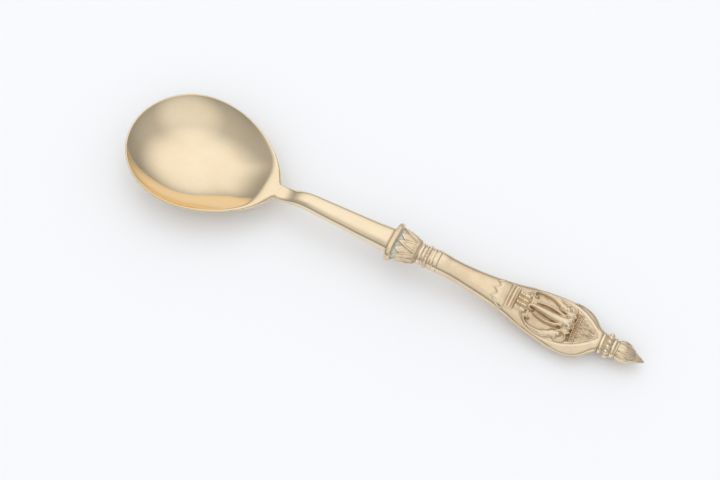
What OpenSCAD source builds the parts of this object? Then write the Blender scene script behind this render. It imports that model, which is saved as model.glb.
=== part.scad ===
// Souvenir spoon in cast golden brass: a deep egg-shaped bowl, a rounded
// shank, a lotus capital with turned rings, a grip that flattens into a
// teardrop panel with a three-headed elephant in relief, and a lotus-bud
// finial.  The castings are pegged and brazed end to end; none of them moves.
//
// Frame: +X from the bowl to the finial, +Z up, the spoon lying bowl-up on a
// table at Z = 0, origin midway along its length on the table.

/* [Overall] */
// Tip of the bowl to tip of the finial
overall_length = 200; // [180:1:220]

/* [Bowl] */
// Length of the bowl casting, root included
bowl_length = 59; // [50:0.5:66]
// Widest part of the rim
bowl_width = 46.5; // [38:0.5:52]
// Height of the rim at the bowl's tip above the table
tip_height = 12.6; // [11:0.1:14]
// Height of the top of the bowl's root above the table
root_height = 9.4; // [8.5:0.1:10.5]
// Wall at the bottom of the bowl
wall = 1.2; // [0.8:0.05:2]
// Flat land of the rim
rim_land = 1.1; // [0.7:0.05:1.6]
// Thickness of the root where the shank is brazed on
root_thick = 2.3; // [1.8:0.1:3]

/* [Shank] */
// Width of the shank at the neck
neck_width = 6; // [5:0.1:7.5]
// Width of the shank just past the bend
shank_width = 6.6; // [5.5:0.1:8]
// Width of the shank where it meets the capital
shank_end_width = 9.4; // [8:0.1:11]
// Depth of the shank past the bend
shank_depth = 5; // [4:0.1:6]
// Height of the tang's centre line above the table
tang_height = 9.7; // [9:0.1:10.5]
// Diameter of the tang that runs through the capital and the rings
tang_d = 3; // [2:0.1:4]
// Length of the tang past the shank's shoulder
tang_length = 22.5; // [20:0.5:24]
// Width of the flat tenon in the bowl's root
tenon_width = 3; // [2:0.1:4]
// Thickness of the flat tenon
tenon_thick = 0.9; // [0.6:0.05:1.2]
// Length of the flat tenon
tenon_length = 3; // [2:0.1:4]

/* [Lotus capital] */
// Where the capital starts, from the middle of the spoon
capital_x = 4.7; // [3:0.1:6.5]
// Length of the capital
capital_length = 10.6; // [9:0.1:13]
// Width over the rim of the capital
capital_width = 15; // [13:0.1:17]
// Depth over the rim of the capital
capital_depth = 8.6; // [7:0.1:11]
// Length of the plain rim band
rim_band = 1.9; // [1:0.1:3]
// Number of petals in the front row
petals = 6; // [4:1:12]

/* [Neck rings] */
// Length of the ring casting
ring_length = 7.8; // [6.5:0.1:9]
// Width over the rope of beads
bead_ring_width = 9.2; // [8:0.1:11]
// Number of beads round the neck
neck_beads = 14; // [10:2:24]

/* [Grip] */
// Length of the grip and its panel
grip_length = 60.8; // [52:0.1:68]
// Width of the grip where it leaves the rings
grip_start_width = 8.1; // [7:0.1:10]
// Width of the grip at its waist
waist_width = 7.6; // [6.5:0.1:9]
// Widest part of the panel
panel_width = 20.2; // [17:0.1:24]
// Depth of the panel's back below its edge
panel_back = 4.1; // [3:0.1:5]
// Rise of the panel's face above its edge
panel_face = 2.2; // [1.5:0.1:3]
// How deep the worn flat under the panel is cut
rest_flat = 0.12; // [0.05:0.01:0.3]

/* [Relief] */
// How far the pedestal stands out of the grip
pedestal_rise = 0.55; // [0.3:0.05:1]
// Radius of the middle head
head_r = 2.3; // [1.8:0.05:2.8]
// Radius of the two side heads
side_head_r = 1.9; // [1.4:0.05:2.4]

/* [Finial] */
// Length of the finial's ring casting
finial_ring_length = 6.2; // [5:0.1:8]
// Width over the finial's beads
finial_bead_width = 9.2; // [7.5:0.1:11]
// Number of beads round the finial
finial_beads = 14; // [8:2:20]
// Widest part of the bud
bud_width = 8; // [6.5:0.1:9.5]
// Diameter of the peg on the bud
peg_d = 2.4; // [1.6:0.1:3]
// Length of the peg on the bud
peg_length = 10.4; // [8:0.1:14]

/* [Hidden] */
eps = 0.01;
gap = 0.03;                       // brazing gap round each peg
x0 = -overall_length / 2;         // bowl tip
x_root = x0 + bowl_length;        // face where bowl and shank meet
x_ring = capital_x + capital_length;
x_grip = x_ring + ring_length;
x_fin = x_grip + grip_length;
x_bud = x_fin + finial_ring_length;
x_end = overall_length / 2;
fin_height = 4.3;
brass = [0.80, 0.66, 0.36];
warm = [0.74, 0.58, 0.32];
dark = [0.62, 0.50, 0.30];

// ---- lofting ----------------------------------------------------------
function sgn(v) = v > 0 ? 1 : (v < 0 ? -1 : 0);
function slope(t, i, k) =
    i == 0 || i == len(t) - 1 ? 0 :
    let (a = (t[i][k] - t[i-1][k]) / (t[i][0] - t[i-1][0]),
         b = (t[i+1][k] - t[i][k]) / (t[i+1][0] - t[i][0]))
    a * b <= 0 ? 0 : 2 * a * b / (a + b);
function seg(t, x, i = 0) = i >= len(t) - 2 || x <= t[i+1][0] ? i : seg(t, x, i + 1);
// value of column k of table t at x, smooth and without overshoot
function at(t, x, k) =
    let (i = seg(t, x), h = t[i+1][0] - t[i][0], u = (x - t[i][0]) / h,
         m0 = slope(t, i, k), m1 = slope(t, i + 1, k))
    (2*u*u*u - 3*u*u + 1) * t[i][k] + (u*u*u - 2*u*u + u) * h * m0
    + (3*u*u - 2*u*u*u) * t[i+1][k] + (u*u*u - u*u) * h * m1;

// one superellipse section: half width, upper half depth, lower half depth
function oval(x, z, w, t, b, p, n) = [for (j = [0:n-1])
    let (a = 360 * j / n, c = cos(a), s = sin(a))
    [x, w * sgn(c) * pow(abs(c), 2/p),
        z + (s >= 0 ? t : b) * sgn(s) * pow(abs(s), 2/p)]];

// closed skin over equal rings of points
module skin(rings) {
    n = len(rings[0]); m = len(rings);
    polyhedron(
        points = [for (r = rings) each r],
        faces = concat(
            [[for (j = [0:n-1]) j]],
            [for (i = [0:m-2], j = [0:n-1]) [i*n+j, (i+1)*n+(j+1)%n, i*n+(j+1)%n]],
            [for (i = [0:m-2], j = [0:n-1]) [i*n+j, (i+1)*n+j, (i+1)*n+(j+1)%n]],
            [[for (j = [n-1:-1:0]) (m-1)*n + j]]), convexity = 6);
}
// loft through a table of [x, height, half width, up, down, roundness]
// whole or from a to b, grown all round and lifted
module loft(t, n = 40, step = 1.5, grow = 0, lift = 0, a = undef, b = undef) {
    x1 = a == undef ? t[0][0] : a; x2 = b == undef ? t[len(t)-1][0] : b;
    m = ceil((x2 - x1) / step);
    skin([for (i = [0:m]) let (x = x1 + (x2 - x1) * i / m)
        oval(x, at(t, x, 1) + lift, at(t, x, 2) + grow, at(t, x, 3) + grow,
             at(t, x, 4) + grow, at(t, x, 5), n)]);
}
// the same, with a ring at each table row only
module lathe(t, n = 40) {
    skin([for (r = t) oval(r[0], r[1], r[2], r[3], r[4], r[5], n)]);
}
// tapered round limb along a path of [x, y, z, radius]
module limb(path, n = 10) {
    m = len(path);
    skin([for (i = [0:m-1])
        let (a = path[max(i-1, 0)], b = path[min(i+1, m-1)],
             d = [b[0]-a[0], b[1]-a[1]], l = norm(d), u = d / l, r = path[i][3])
        [for (j = [0:n-1]) let (q = 360 * j / n)
            [path[i][0] - u[1] * r * cos(q), path[i][1] + u[0] * r * cos(q),
             path[i][2] + r * sin(q)]]]);
}

// ---- bowl --------------------------------------------------------------
// [share of length from the tip, share of the fall from tip to root]
rim = [[0, 1], [0.2, 0.91], [0.5, 0.47], [0.8, 0.16], [0.9, 0.06], [1, 0]];
// half width of the rim, share of bowl_width / 2: an egg that runs into the root
root_share = 0.13;
function egg(u) = let (t = 1 - 2 * u) sqrt(max(0, 1 - t*t)) * (0.987 + 0.171*t - 0.062*t*t);
function soft_max(a, b, k) = let (h = max(0, k - abs(a - b)) / k) max(a, b) + h * h * k / 4;
function half_at(u) = u <= 0 ? 0 :
    soft_max(egg(u), root_share * min(1, max(0, (u - 0.6) / 0.2)), 0.15);
half_rim = 34;
function rim_x(i) = let (u = i / half_rim) 0.62 * (1 - cos(180 * u)) / 2 + 0.38 * u;
function rim_z(u) = root_height + (tip_height - root_height) * at(rim, u, 1);
function rim_pt(i, s) = let (u = rim_x(i))
    [x0 + bowl_length * u, s * half_at(u) * bowl_width / 2, rim_z(u)];
outline = concat([for (i = [0:half_rim]) rim_pt(i, 1)],
                 [for (i = [half_rim:-1:1]) rim_pt(i, -1)]);
deep = [x0 + bowl_length * 0.48, 0];       // lowest point in plan
mouth_end = x0 + bowl_length * 0.915;       // where the hollow stops
// share of the depth at which each outer ring lies, and the ring's size
drops = [0, 0.09, 0.19, 0.30, 0.42, 0.54, 0.66, 0.77, 0.86, 0.93, 0.975, 1];
// how far a point lies towards the root, 0 at the sides and 1 at the root
function aft(p) = let (u = (p[0] - x0) / bowl_length) u < 0.7 ? 0 :
    let (v = (u - 0.7) / 0.3) v * v * (3 - 2 * v);
function ring_size(t, e) = sqrt(max(0, 1 - pow(t, 1 / e)));
function side_drop(p) = 1.0 + (root_thick - 1.0) * aft(p);
function outer_ring(t) = [for (p = outline)
    let (r = t >= 1 ? 0.07 : max(0.07, ring_size(t, 0.72 + 0.4 * aft(p))),
         top = p[2] - side_drop(p))
    [deep[0] + (p[0] - deep[0]) * r, p[1] * r, top * (1 - t)]];
// the hollow's edge: the rim moved in by the land, and cut short at the root
function mouth(p) = let (l = norm([p[0]-deep[0], p[1]]), k = 1 - rim_land / l,
         x = deep[0] + (p[0] - deep[0]) * k, y = p[1] * k,
         over = max(0, x - (mouth_end - 5)), cap = 5 * (1 - exp(-over / 5)))
    [over > 0 ? mouth_end - 5 + cap : x, over > 0 ? y * (1 - 0.75 * pow(cap / 5, 2)) : y,
     p[2] + 0.05 * aft(p)];
function inner_ring(t) = [for (p = outline)
    let (q = mouth(p), r = t >= 1 ? 0.07 : max(0.07, ring_size(t, 0.76 + 0.3 * aft(p))))
    [deep[0] + (q[0] - deep[0]) * r, q[1] * r, q[2] + (wall - q[2]) * t]];
no = len(outline);
function centre_out() = [deep[0], 0, 0];

module bowl_blank() {
    // rings run down the outside, then up over the rim and down the inside
    outs = [for (i = [len(drops)-1:-1:0]) outer_ring(drops[i])];
    ins = [for (t = drops) inner_ring(t)];
    rings = concat(outs, [outline], ins);
    m = len(rings); n = no;
    polyhedron(points = [for (r = rings) each r],
        faces = concat([[for (j = [0:n-1]) j]],
            [for (i = [0:m-2], j = [0:n-1]) [i*n+j, (i+1)*n+(j+1)%n, i*n+(j+1)%n]],
            [for (i = [0:m-2], j = [0:n-1]) [i*n+j, (i+1)*n+j, (i+1)*n+(j+1)%n]],
            [[for (j = [n-1:-1:0]) (m-1)*n + j]]), convexity = 8);
}
tenon_z = root_height - root_thick / 2 - 0.1;
module bowl() color(brass) difference() {
    bowl_blank();
    // slot for the shank's flat tenon
    translate([x_root - tenon_length - gap, -tenon_width/2 - gap, tenon_z - tenon_thick/2 - gap])
        cube([tenon_length + gap + 1, tenon_width + 2*gap, tenon_thick + 2*gap]);
}

// ---- shank -------------------------------------------------------------
root_mid = root_height - root_thick / 2;
shank_table = [
    [x_root, root_mid, bowl_width / 2 * half_at(1), root_thick / 2, root_thick / 2, 3],
    [x_root + 2.5, root_mid - 0.2, neck_width / 2 - 0.12, 1.2, 1.25, 2.8],
    [x_root + 5.5, root_mid + 0.45, neck_width / 2 - 0.1, 1.5, 1.6, 2.6],
    [x_root + 9, root_mid + 1.85, neck_width / 2 + 0.1, 2.1, 2.2, 2.4],
    [x_root + 13, root_mid + 2.6, shank_width / 2, shank_depth / 2, shank_depth / 2, 2.3],
    [x_root + 20.5, root_mid + 2.3, shank_width / 2 + 0.3, shank_depth / 2 + 0.05, shank_depth / 2, 2.3],
    [x_root + 33.5, root_mid + 1.7, shank_width / 2 + 0.8, shank_depth / 2 + 0.2, shank_depth / 2 + 0.1, 2.3],
    [x_root + 40, root_mid + 1.45, shank_end_width / 2 - 0.35, shank_depth / 2 + 0.4, shank_depth / 2 + 0.3, 2.3],
    [capital_x, root_mid + 1.4, shank_end_width / 2, shank_depth / 2 + 0.65, shank_depth / 2 + 0.5, 2.3]];
module shank() color(brass) union() {
    loft(shank_table, 36, 1.6);
    translate([capital_x - 0.5, 0, tang_height]) rotate([0, 90, 0])
        cylinder(d = tang_d, h = tang_length + 0.5, $fn = 48);
    translate([x_root - tenon_length, -tenon_width/2, tenon_z - tenon_thick/2])
        cube([tenon_length + 0.6, tenon_width, tenon_thick]);
}
module tang_hole(x1, x2) translate([x1, 0, tang_height]) rotate([0, 90, 0])
    cylinder(d = tang_d + 2 * gap, h = x2 - x1, $fn = 48);

// ---- lotus capital -----------------------------------------------------
cz = tang_height;
cw = capital_width / 2; cd = capital_depth / 2;
cap_table = [
    [capital_x, cz, cw - 0.7, cd - 0.7, cd - 0.7, 2.5],
    [capital_x + 0.4, cz, cw - 0.1, cd - 0.1, cd - 0.1, 2.5],
    [capital_x + rim_band - 0.5, cz, cw, cd, cd, 2.5],
    [capital_x + rim_band, cz, cw - 0.2, cd - 0.2, cd - 0.2, 2.5],
    [capital_x + rim_band + 0.15, cz, cw - 1.1, cd - 1.0, cd - 1.0, 2.5],
    [capital_x + 3.6, cz, cw - 1.5, cd - 1.2, cd - 1.2, 2.5],
    [capital_x + 5.6, cz, cw - 2.1, cd - 1.4, cd - 1.4, 2.5],
    [capital_x + 7.6, cz, cw - 2.4, cd - 1.5, cd - 1.5, 2.5],
    [capital_x + 9.1, cz, cw - 2.7, cd - 1.5, cd - 1.5, 2.4],
    [capital_x + capital_length - 0.3, cz, cw - 3.5, cd - 1.6, cd - 1.6, 2.4],
    [capital_x + capital_length, cz, cw - 3.8, cd - 1.7, cd - 1.7, 2.3]];
// a pointed petal lying on the capital, tip towards the bowl
function on_cap(x, a, lift) =
    let (w = at(cap_table, x, 2) + lift, d = at(cap_table, x, 3) + lift, p = 2.4,
         c = cos(a), s = sin(a))
    [x, w * sgn(c) * pow(abs(c), 2/p), cz + d * sgn(s) * pow(abs(s), 2/p)];
petal_rows = [[0, 0.04], [0.14, 0.36], [0.32, 0.66], [0.52, 0.88], [0.72, 0.98], [0.88, 0.92], [1, 0.72]];
module petal(a, half, x1, x2, rise) {
    skin([for (r = petal_rows) let (x = x1 + (x2 - x1) * r[0], h = half * r[1])
        concat([for (q = [-1, -0.5, 0, 0.5, 1]) on_cap(x, a + h * q, rise * (1 - 0.55 * q * q) * (0.5 + 0.5 * r[1]))],
               [for (q = [1, 0, -1]) on_cap(x, a + h * q, -0.7)])]);
}
module lotus_capital() color(warm) difference() {
    union() {
        lathe(cap_table, 48);
        for (i = [0:petals-1])
            petal(360 * i / petals + 90, 180 / petals,
                  capital_x + rim_band + 0.4, capital_x + 9.6, 0.75);
        for (i = [0:petals-1])
            petal(360 * (i + 0.5) / petals + 90, 180 / petals * 0.55,
                  capital_x + rim_band + 0.3, capital_x + 6.5, 0.4);
    }
    tang_hole(capital_x - 1, capital_x + capital_length + 1);
}

// ---- neck rings --------------------------------------------------------
rw = bead_ring_width / 2;
ring_table = [
    [0, 3.7, 2.95], [0.3, 3.75, 3.0], [0.45, 4.0, 3.2], [0.95, 4.1, 3.3], [1.45, 4.0, 3.2],
    [1.6, 3.75, 3.0], [2.1, 3.8, 3.0], [2.4, rw - 0.75, 3.1], [4.6, rw - 0.75, 3.1],
    [4.9, 3.8, 3.0], [5.1, 3.95, 3.15], [5.5, 4.05, 3.25], [5.85, 3.95, 3.15], [6.0, 3.75, 3.0],
    [6.2, 4.0, 3.2], [6.7, 4.2, 3.4], [7.3, 4.15, 3.35], [7.5, 3.9, 3.15], [ring_length, 3.9, 3.15]];
module beads(x, z, w, d, n, r) for (i = [0:n-1]) let (a = 360 * (i + 0.5) / n, p = 2.3)
    translate([x, w * sgn(cos(a)) * pow(abs(cos(a)), 2/p), z + d * sgn(sin(a)) * pow(abs(sin(a)), 2/p)])
        sphere(r = r, $fn = 24);
module neck_collar() color(warm) difference() {
    union() {
        lathe([for (r = ring_table) [x_ring + r[0], cz, r[1], r[2], r[2], 2.3]], 40);
        beads(x_ring + 3.5, cz, rw - 0.85, 3.0, neck_beads, 0.85);
    }
    tang_hole(x_ring - 1, x_grip + 1);
}

// ---- grip and panel ----------------------------------------------------
// [along, height of the edge, half width, up, down, roundness]
pw = panel_width / 2;
grip_table = [
    [x_grip, 9.62, grip_start_width / 2, 3.3, 3.2, 2.3],
    [x_grip + 5.3, 8.75, waist_width / 2, 3.1, 3.0, 2.3],
    [x_grip + 14.5, 7.38, 4.4, 3.05, 2.9, 2.3],
    [x_grip + 21, 6.85, 5.15, 2.9, 2.9, 2.3],
    [x_grip + 27.2, 6.22, 6.35, 2.75, 3.1, 2.3],
    [x_grip + 33.6, 5.34, 8.0, 2.6, 3.5, 2.3],
    [x_grip + 39.7, 4.64, pw - 1.0, 2.4, panel_back - 0.1, 2.3],
    [x_grip + 46.1, panel_back + 0.05, pw - 0.1, panel_face + 0.05, panel_back + rest_flat, 2.3],
    [x_grip + 49.8, panel_back, pw, panel_face, panel_back + rest_flat, 2.3],
    [x_grip + 52.5, panel_back + 0.05, pw - 0.35, panel_face, panel_back + rest_flat, 2.3],
    [x_grip + 54.8, panel_back + 0.1, pw - 1.2, panel_face, panel_back - 0.1, 2.25],
    [x_grip + 56.8, panel_back + 0.15, pw - 2.55, panel_face + 0.1, 3.8, 2.2],
    [x_grip + 58.5, fin_height, pw - 4.3, 2.5, 3.3, 2.2],
    [x_grip + 59.9, fin_height, pw - 5.7, 2.75, 2.9, 2.2],
    [x_fin, fin_height, pw - 6.1, 2.75, 2.8, 2.2]];
// sloping floor that the relief sits on
floor_x = 44; floor_z = 7.55; floor_drop = 5.3;
module on_floor() translate([floor_x, 0, floor_z]) rotate([0, floor_drop, 0]) children();
ped_pts = [[0.4, 0], [0.4, 2.4], [1.6, 3.3], [2.6, 4.3], [5.3, 4.9], [5.3, 4.7], [8.7, 4.7],
           [8.7, 3.7], [12.2, 3.7], [12.2, 0]];
arch_pts = [[12.35, 0], [12.35, 4.6], [15.5, 7.0], [20, 8.1], [26, 7.9], [30, 6.6], [34, 4.5],
            [37, 2.2], [38.6, 0]];
function both(t) = concat(t, [for (i = [len(t)-2:-1:1]) [t[i][0], -t[i][1]]]);
module grip() color(warm) difference() {
    loft(grip_table, 44, 1.5);
    // seat for the relief
    on_floor() linear_extrude(6) polygon(both(concat(
        [[0.4 - gap, 0], [0.4 - gap, 2.4 + gap], [1.6 - gap, 3.3 + gap], [2.6 - gap, 4.3 + gap],
         [5.3, 4.9 + gap], [8.7, 4.9 + gap], [12.3, 4.75]],
        [[15.5, 7.0 + gap], [20, 8.1 + gap], [26, 7.9 + gap], [30, 6.6 + gap], [34, 4.5 + gap],
         [37, 2.2 + gap], [38.6 + gap, 0]])));
    tang_hole(x_grip - 1, capital_x + tang_length + 0.3);
    // socket for the finial's peg
    translate([x_bud - peg_length - 0.3, 0, fin_height]) rotate([0, 90, 0])
        cylinder(d = peg_d + 2 * gap, h = peg_length, $fn = 36);
    // worn flat under the panel
    translate([x_grip, -20, -5]) cube([grip_length, 40, 5]);
}

// ---- relief ------------------------------------------------------------
module pedestal() color(warm) intersection() {
    on_floor() union() {
        linear_extrude(5) polygon(both([[0.4, 0], [0.4, 2.4], [1.6, 3.3], [2.6, 4.3], [5.0, 4.85], [5.0, 0]]));
        linear_extrude(2.35) translate([4.9, -4.6]) square([0.6, 9.2]);
        linear_extrude(5) translate([5.3, -4.75]) square([1.0, 9.5]);
        linear_extrude(2.2) translate([6.2, -4.6]) square([0.4, 9.2]);
        linear_extrude(5) translate([6.5, -4.7]) square([0.9, 9.4]);
        linear_extrude(2.1) translate([7.3, -4.6]) square([0.4, 9.2]);
        linear_extrude(5) translate([7.6, -4.6]) square([0.95, 9.2]);
        linear_extrude(1.5) translate([8.5, -3.6]) square([3.7, 7.2]);
        for (k = [-1, 1]) {
            linear_extrude(2.2) translate([8.9, k * 2.6 - 0.8]) square([1.4, 1.6]);
            linear_extrude(2.2) translate([8.9, k * 0.85 - 0.7]) square([1.4, 1.4]);
            linear_extrude(2.1) translate([10.6, k * 2.6 - 0.8]) square([1.5, 1.6]);
            linear_extrude(2.1) translate([10.6, k * 0.85 - 0.7]) square([1.5, 1.4]);
        }
    }
    loft(grip_table, 40, 1.4, pedestal_rise, 0, x_grip + 20, x_grip + 35);
}
// along the floor, sideways, up from the floor, radius
module middle_trunk() {
    limb([[27.5, 0.2, 1.3, 1.5], [24.5, 0.9, 1.3, 1.35], [21, 1.2, 1.3, 1.2], [18, 1.0, 1.35, 1.05],
          [15.6, 0.7, 1.45, 0.95], [13.9, 0.3, 1.55, 0.8]]);
    limb([[14.6, 0.7, 1.5, 0.8], [13.2, 0.4, 1.55, 0.7], [12.9, -0.5, 1.55, 0.6], [13.6, -1.2, 1.5, 0.55], [14.5, -1.0, 1.4, 0.5]]);
}
module side_trunk(k) {
    limb([[24.5, k * 5.2, 0.9, 1.1], [21.5, k * 6.2, 0.8, 0.95], [18.5, k * 6.4, 0.8, 0.8],
          [16.0, k * 5.8, 0.95, 0.65], [14.9, k * 4.9, 1.0, 0.55], [15.6, k * 4.2, 1.0, 0.5]]);
}
module elephant_relief() color(dark) union() {
    // ground plate with the pointed niche behind the heads
    intersection() {
        on_floor() linear_extrude(5) polygon(both(arch_pts));
        loft(grip_table, 40, 2, 0, -0.45, x_grip + 32, x_fin - 0.2);
    }
    on_floor() {
        // the three heads
        translate([26.6, 0.2, 0.6]) sphere(r = head_r, $fn = 40);
        translate([28.6, 1.1, 0.9]) sphere(r = head_r * 0.6, $fn = 32);
        translate([28.6, -0.9, 0.9]) sphere(r = head_r * 0.6, $fn = 32);
        for (k = [-1, 1]) translate([24.8, k * 4.9, 0.2]) sphere(r = side_head_r, $fn = 36);
        middle_trunk();
        for (k = [-1, 1]) side_trunk(k);
        // tusks
        for (k = [-1, 1]) limb([[23.2, k * 3.0, 1.1, 0.55], [20.6, k * 2.7, 1.2, 0.45], [18.2, k * 2.9, 1.2, 0.3]], 8);
        // beaded head band and the crown above it
        for (y = [-4.2:1.05:4.3]) translate([30.6, y, 0.75]) sphere(r = 0.6, $fn = 16);
        intersection() {
            linear_extrude(1.5) polygon(both([[31.2, 0], [31.2, 4.6], [33.6, 3.8], [35.8, 2.1], [37.6, 0]]));
            translate([28.5, 0, -8.6]) sphere(r = 10.3, $fn = 60);
        }
        translate([33.2, 0, 0.7]) sphere(r = 1.15, $fn = 24);
    }
}

// ---- finial ------------------------------------------------------------
fw = finial_bead_width / 2;
fin_table = [
    [0, 3.6, 2.6], [0.2, 4.0, 2.85], [0.8, 4.15, 3.0], [1.3, 4.0, 2.9], [1.5, 3.65, 2.6],
    [2.1, fw - 0.8, 2.8], [4.0, fw - 0.8, 2.8], [4.5, 3.55, 2.5], [4.7, 3.7, 2.65],
    [5.3, 3.8, 2.75], [5.7, 3.65, 2.65], [5.9, 3.4, 2.4], [finial_ring_length, 3.4, 2.4]];
module finial_collar() color(warm) difference() {
    union() {
        lathe([for (r = fin_table) [x_fin + r[0], fin_height, r[1], r[2], r[2], 2.2]], 40);
        beads(x_fin + 3.05, fin_height - 0.05, fw - 0.85, 2.75, finial_beads, 0.85);
    }
    translate([x_fin - 1, 0, fin_height]) rotate([0, 90, 0])
        cylinder(d = peg_d + 2 * gap, h = finial_ring_length + 2, $fn = 36);
}
bud_len = x_end - x_bud;
bw = bud_width / 2;
bud_table = [
    [x_bud, fin_height, 3.3, 2.4, 2.4, 2.2],
    [x_bud + 0.12 * bud_len, fin_height - 0.05, bw - 0.35, bw * 0.72, bw * 0.72, 2.2],
    [x_bud + 0.24 * bud_len, fin_height - 0.1, bw - 0.15, bw * 0.76, bw * 0.76, 2.1],
    [x_bud + 0.42 * bud_len, fin_height - 0.25, bw * 0.82, bw * 0.68, bw * 0.68, 2],
    [x_bud + 0.60 * bud_len, fin_height - 0.4, bw * 0.62, bw * 0.54, bw * 0.54, 2],
    [x_bud + 0.80 * bud_len, fin_height - 0.55, bw * 0.36, bw * 0.34, bw * 0.34, 2],
    [x_bud + 0.95 * bud_len, fin_height - 0.65, bw * 0.13, bw * 0.12, bw * 0.12, 2],
    [x_end, fin_height - 0.7, bw * 0.05, bw * 0.05, bw * 0.05, 2]];
function on_bud(x, a, lift) = let (w = at(bud_table, x, 2) + lift, d = at(bud_table, x, 3) + lift)
    [x, w * cos(a), at(bud_table, x, 1) + d * sin(a)];
module bud_petal(a, half, x1, x2, rise)
    skin([for (r = [[0, 0.75], [0.25, 1], [0.5, 0.9], [0.75, 0.6], [0.92, 0.28], [1, 0.05]])
        let (x = x1 + (x2 - x1) * r[0], h = half * r[1])
        concat([for (q = [-1, -0.5, 0, 0.5, 1]) on_bud(x, a + h * q, rise * (1 - 0.7 * q * q) * (0.3 + 0.7 * r[1]))],
               [for (q = [1, 0, -1]) on_bud(x, a + h * q, -0.5)])]);
module bud_finial() color(dark) union() {
    lathe(bud_table, 36);
    for (i = [0:5]) bud_petal(60 * i + 90, 26, x_bud + 0.4, x_bud + 4.4, 0.32);
    for (i = [0:5]) bud_petal(60 * i + 60, 22, x_bud + 2.2, x_bud + 6.4, 0.28);
    translate([x_bud - peg_length, 0, fin_height]) rotate([0, 90, 0])
        cylinder(d = peg_d, h = peg_length + 0.5, $fn = 36);
}

bowl();
shank();
lotus_capital();
neck_collar();
grip();
pedestal();
elephant_relief();
finial_collar();
bud_finial();
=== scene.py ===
import math

import bpy
import numpy as np
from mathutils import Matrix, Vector


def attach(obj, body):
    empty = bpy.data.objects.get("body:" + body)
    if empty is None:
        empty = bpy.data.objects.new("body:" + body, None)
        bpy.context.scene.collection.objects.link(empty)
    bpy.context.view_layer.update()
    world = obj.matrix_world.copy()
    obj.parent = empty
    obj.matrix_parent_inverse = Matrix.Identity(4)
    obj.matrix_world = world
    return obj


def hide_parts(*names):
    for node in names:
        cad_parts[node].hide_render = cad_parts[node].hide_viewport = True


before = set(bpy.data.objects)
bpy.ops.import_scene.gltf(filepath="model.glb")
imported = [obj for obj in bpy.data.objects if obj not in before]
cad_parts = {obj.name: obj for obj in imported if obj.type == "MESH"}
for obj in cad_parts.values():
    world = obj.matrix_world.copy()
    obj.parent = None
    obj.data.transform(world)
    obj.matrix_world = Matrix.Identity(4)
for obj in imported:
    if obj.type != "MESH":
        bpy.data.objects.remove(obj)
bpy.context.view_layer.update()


MM = 0.001

# ------------------------------------------------------------------ numbers
# The same sizes as the CAD, in millimetres.
X0, X_ROOT, X_CAP, X_RING, X_GRIP, X_FIN, X_BUD, X_END = (
    -100.0, -41.0, 4.7, 15.3, 23.1, 83.9, 90.1, 100.0)
BOWL_L, BOWL_W = 59.0, 46.5
TIP_H, ROOT_H = 12.6, 9.4
WALL, LAND, ROOT_T = 1.2, 1.1, 2.3
CZ = 9.7
FIN_Z = 4.3
PW = 10.1


def hermite(table, x, k):
    """Column k of a table at x, with no overshoot."""
    t = np.asarray(table, float)
    xs, v = t[:, 0], t[:, k]
    h = np.diff(xs)
    d = np.diff(v) / h
    m = np.zeros(len(xs))
    for i in range(1, len(xs) - 1):
        a, b = d[i - 1], d[i]
        m[i] = 0.0 if a * b <= 0 else 2 * a * b / (a + b)
    x = np.asarray(x, float)
    i = np.clip(np.searchsorted(xs, x, side="right") - 1, 0, len(xs) - 2)
    u = np.clip((x - xs[i]) / h[i], 0, 1)
    return ((2 * u**3 - 3 * u**2 + 1) * v[i] + (u**3 - 2 * u**2 + u) * h[i] * m[i]
            + (3 * u**2 - 2 * u**3) * v[i + 1] + (u**3 - u**2) * h[i] * m[i + 1])


def blur1(a, sigma, axis=0, wrap=False):
    """Gaussian blur along one axis, sigma in samples."""
    if sigma <= 0:
        return a
    r = max(1, int(4 * sigma))
    k = np.exp(-0.5 * (np.arange(-r, r + 1) / sigma) ** 2)
    k /= k.sum()
    a = np.moveaxis(a, axis, 0)
    pad = [(r, r)] + [(0, 0)] * (a.ndim - 1)
    p = np.pad(a, pad, mode="wrap" if wrap else "edge")
    out = np.zeros_like(a, dtype=float)
    for i, w in enumerate(k):
        out += w * p[i:i + a.shape[0]]
    return np.moveaxis(out, 0, axis)


def smooth_table(table, step=0.1, sigma=1.2):
    """A table resampled finely and smoothed, its end rows kept."""
    t = np.asarray(table, float)
    xs = np.arange(t[0, 0], t[-1, 0] + step / 2, step)
    cols = [xs]
    for k in range(1, t.shape[1]):
        v = hermite(t, xs, k)
        n = int(5 * sigma / step)
        first = v[0] + (v[0] - v[1:n + 1][::-1])
        last = v[-1] + (v[-1] - v[-n - 1:-1][::-1])
        w = blur1(np.concatenate([first, v, last]), sigma / step)[n:-n]
        cols.append(w)
    return np.stack(cols, 1)


def lin(table, x, k):
    return np.interp(x, table[:, 0], table[:, k])


def smooth01(v):
    v = np.clip(v, 0, 1)
    return v * v * (3 - 2 * v)


def smax(a, b, k):
    h = np.maximum(0, k - np.abs(a - b)) / k
    return np.maximum(a, b) + h * h * k / 4


def smin(a, b, k):
    return -smax(-a, -b, k)


# seeded smooth noise, so that every run gives the same casting
def lattice(seed, n=64):
    return np.random.RandomState(seed).uniform(-1, 1, (n, n))


def noise2(x, y, size, seed):
    g = lattice(seed)
    n = g.shape[0]
    u, v = np.asarray(x) / size, np.asarray(y) / size
    i, j = np.floor(u).astype(int), np.floor(v).astype(int)
    fu, fv = smooth01(u - i), smooth01(v - j)
    a, b = g[i % n, j % n], g[(i + 1) % n, j % n]
    c, d = g[i % n, (j + 1) % n], g[(i + 1) % n, (j + 1) % n]
    return (a * (1 - fu) + b * fu) * (1 - fv) + (c * (1 - fu) + d * fu) * fv


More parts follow.
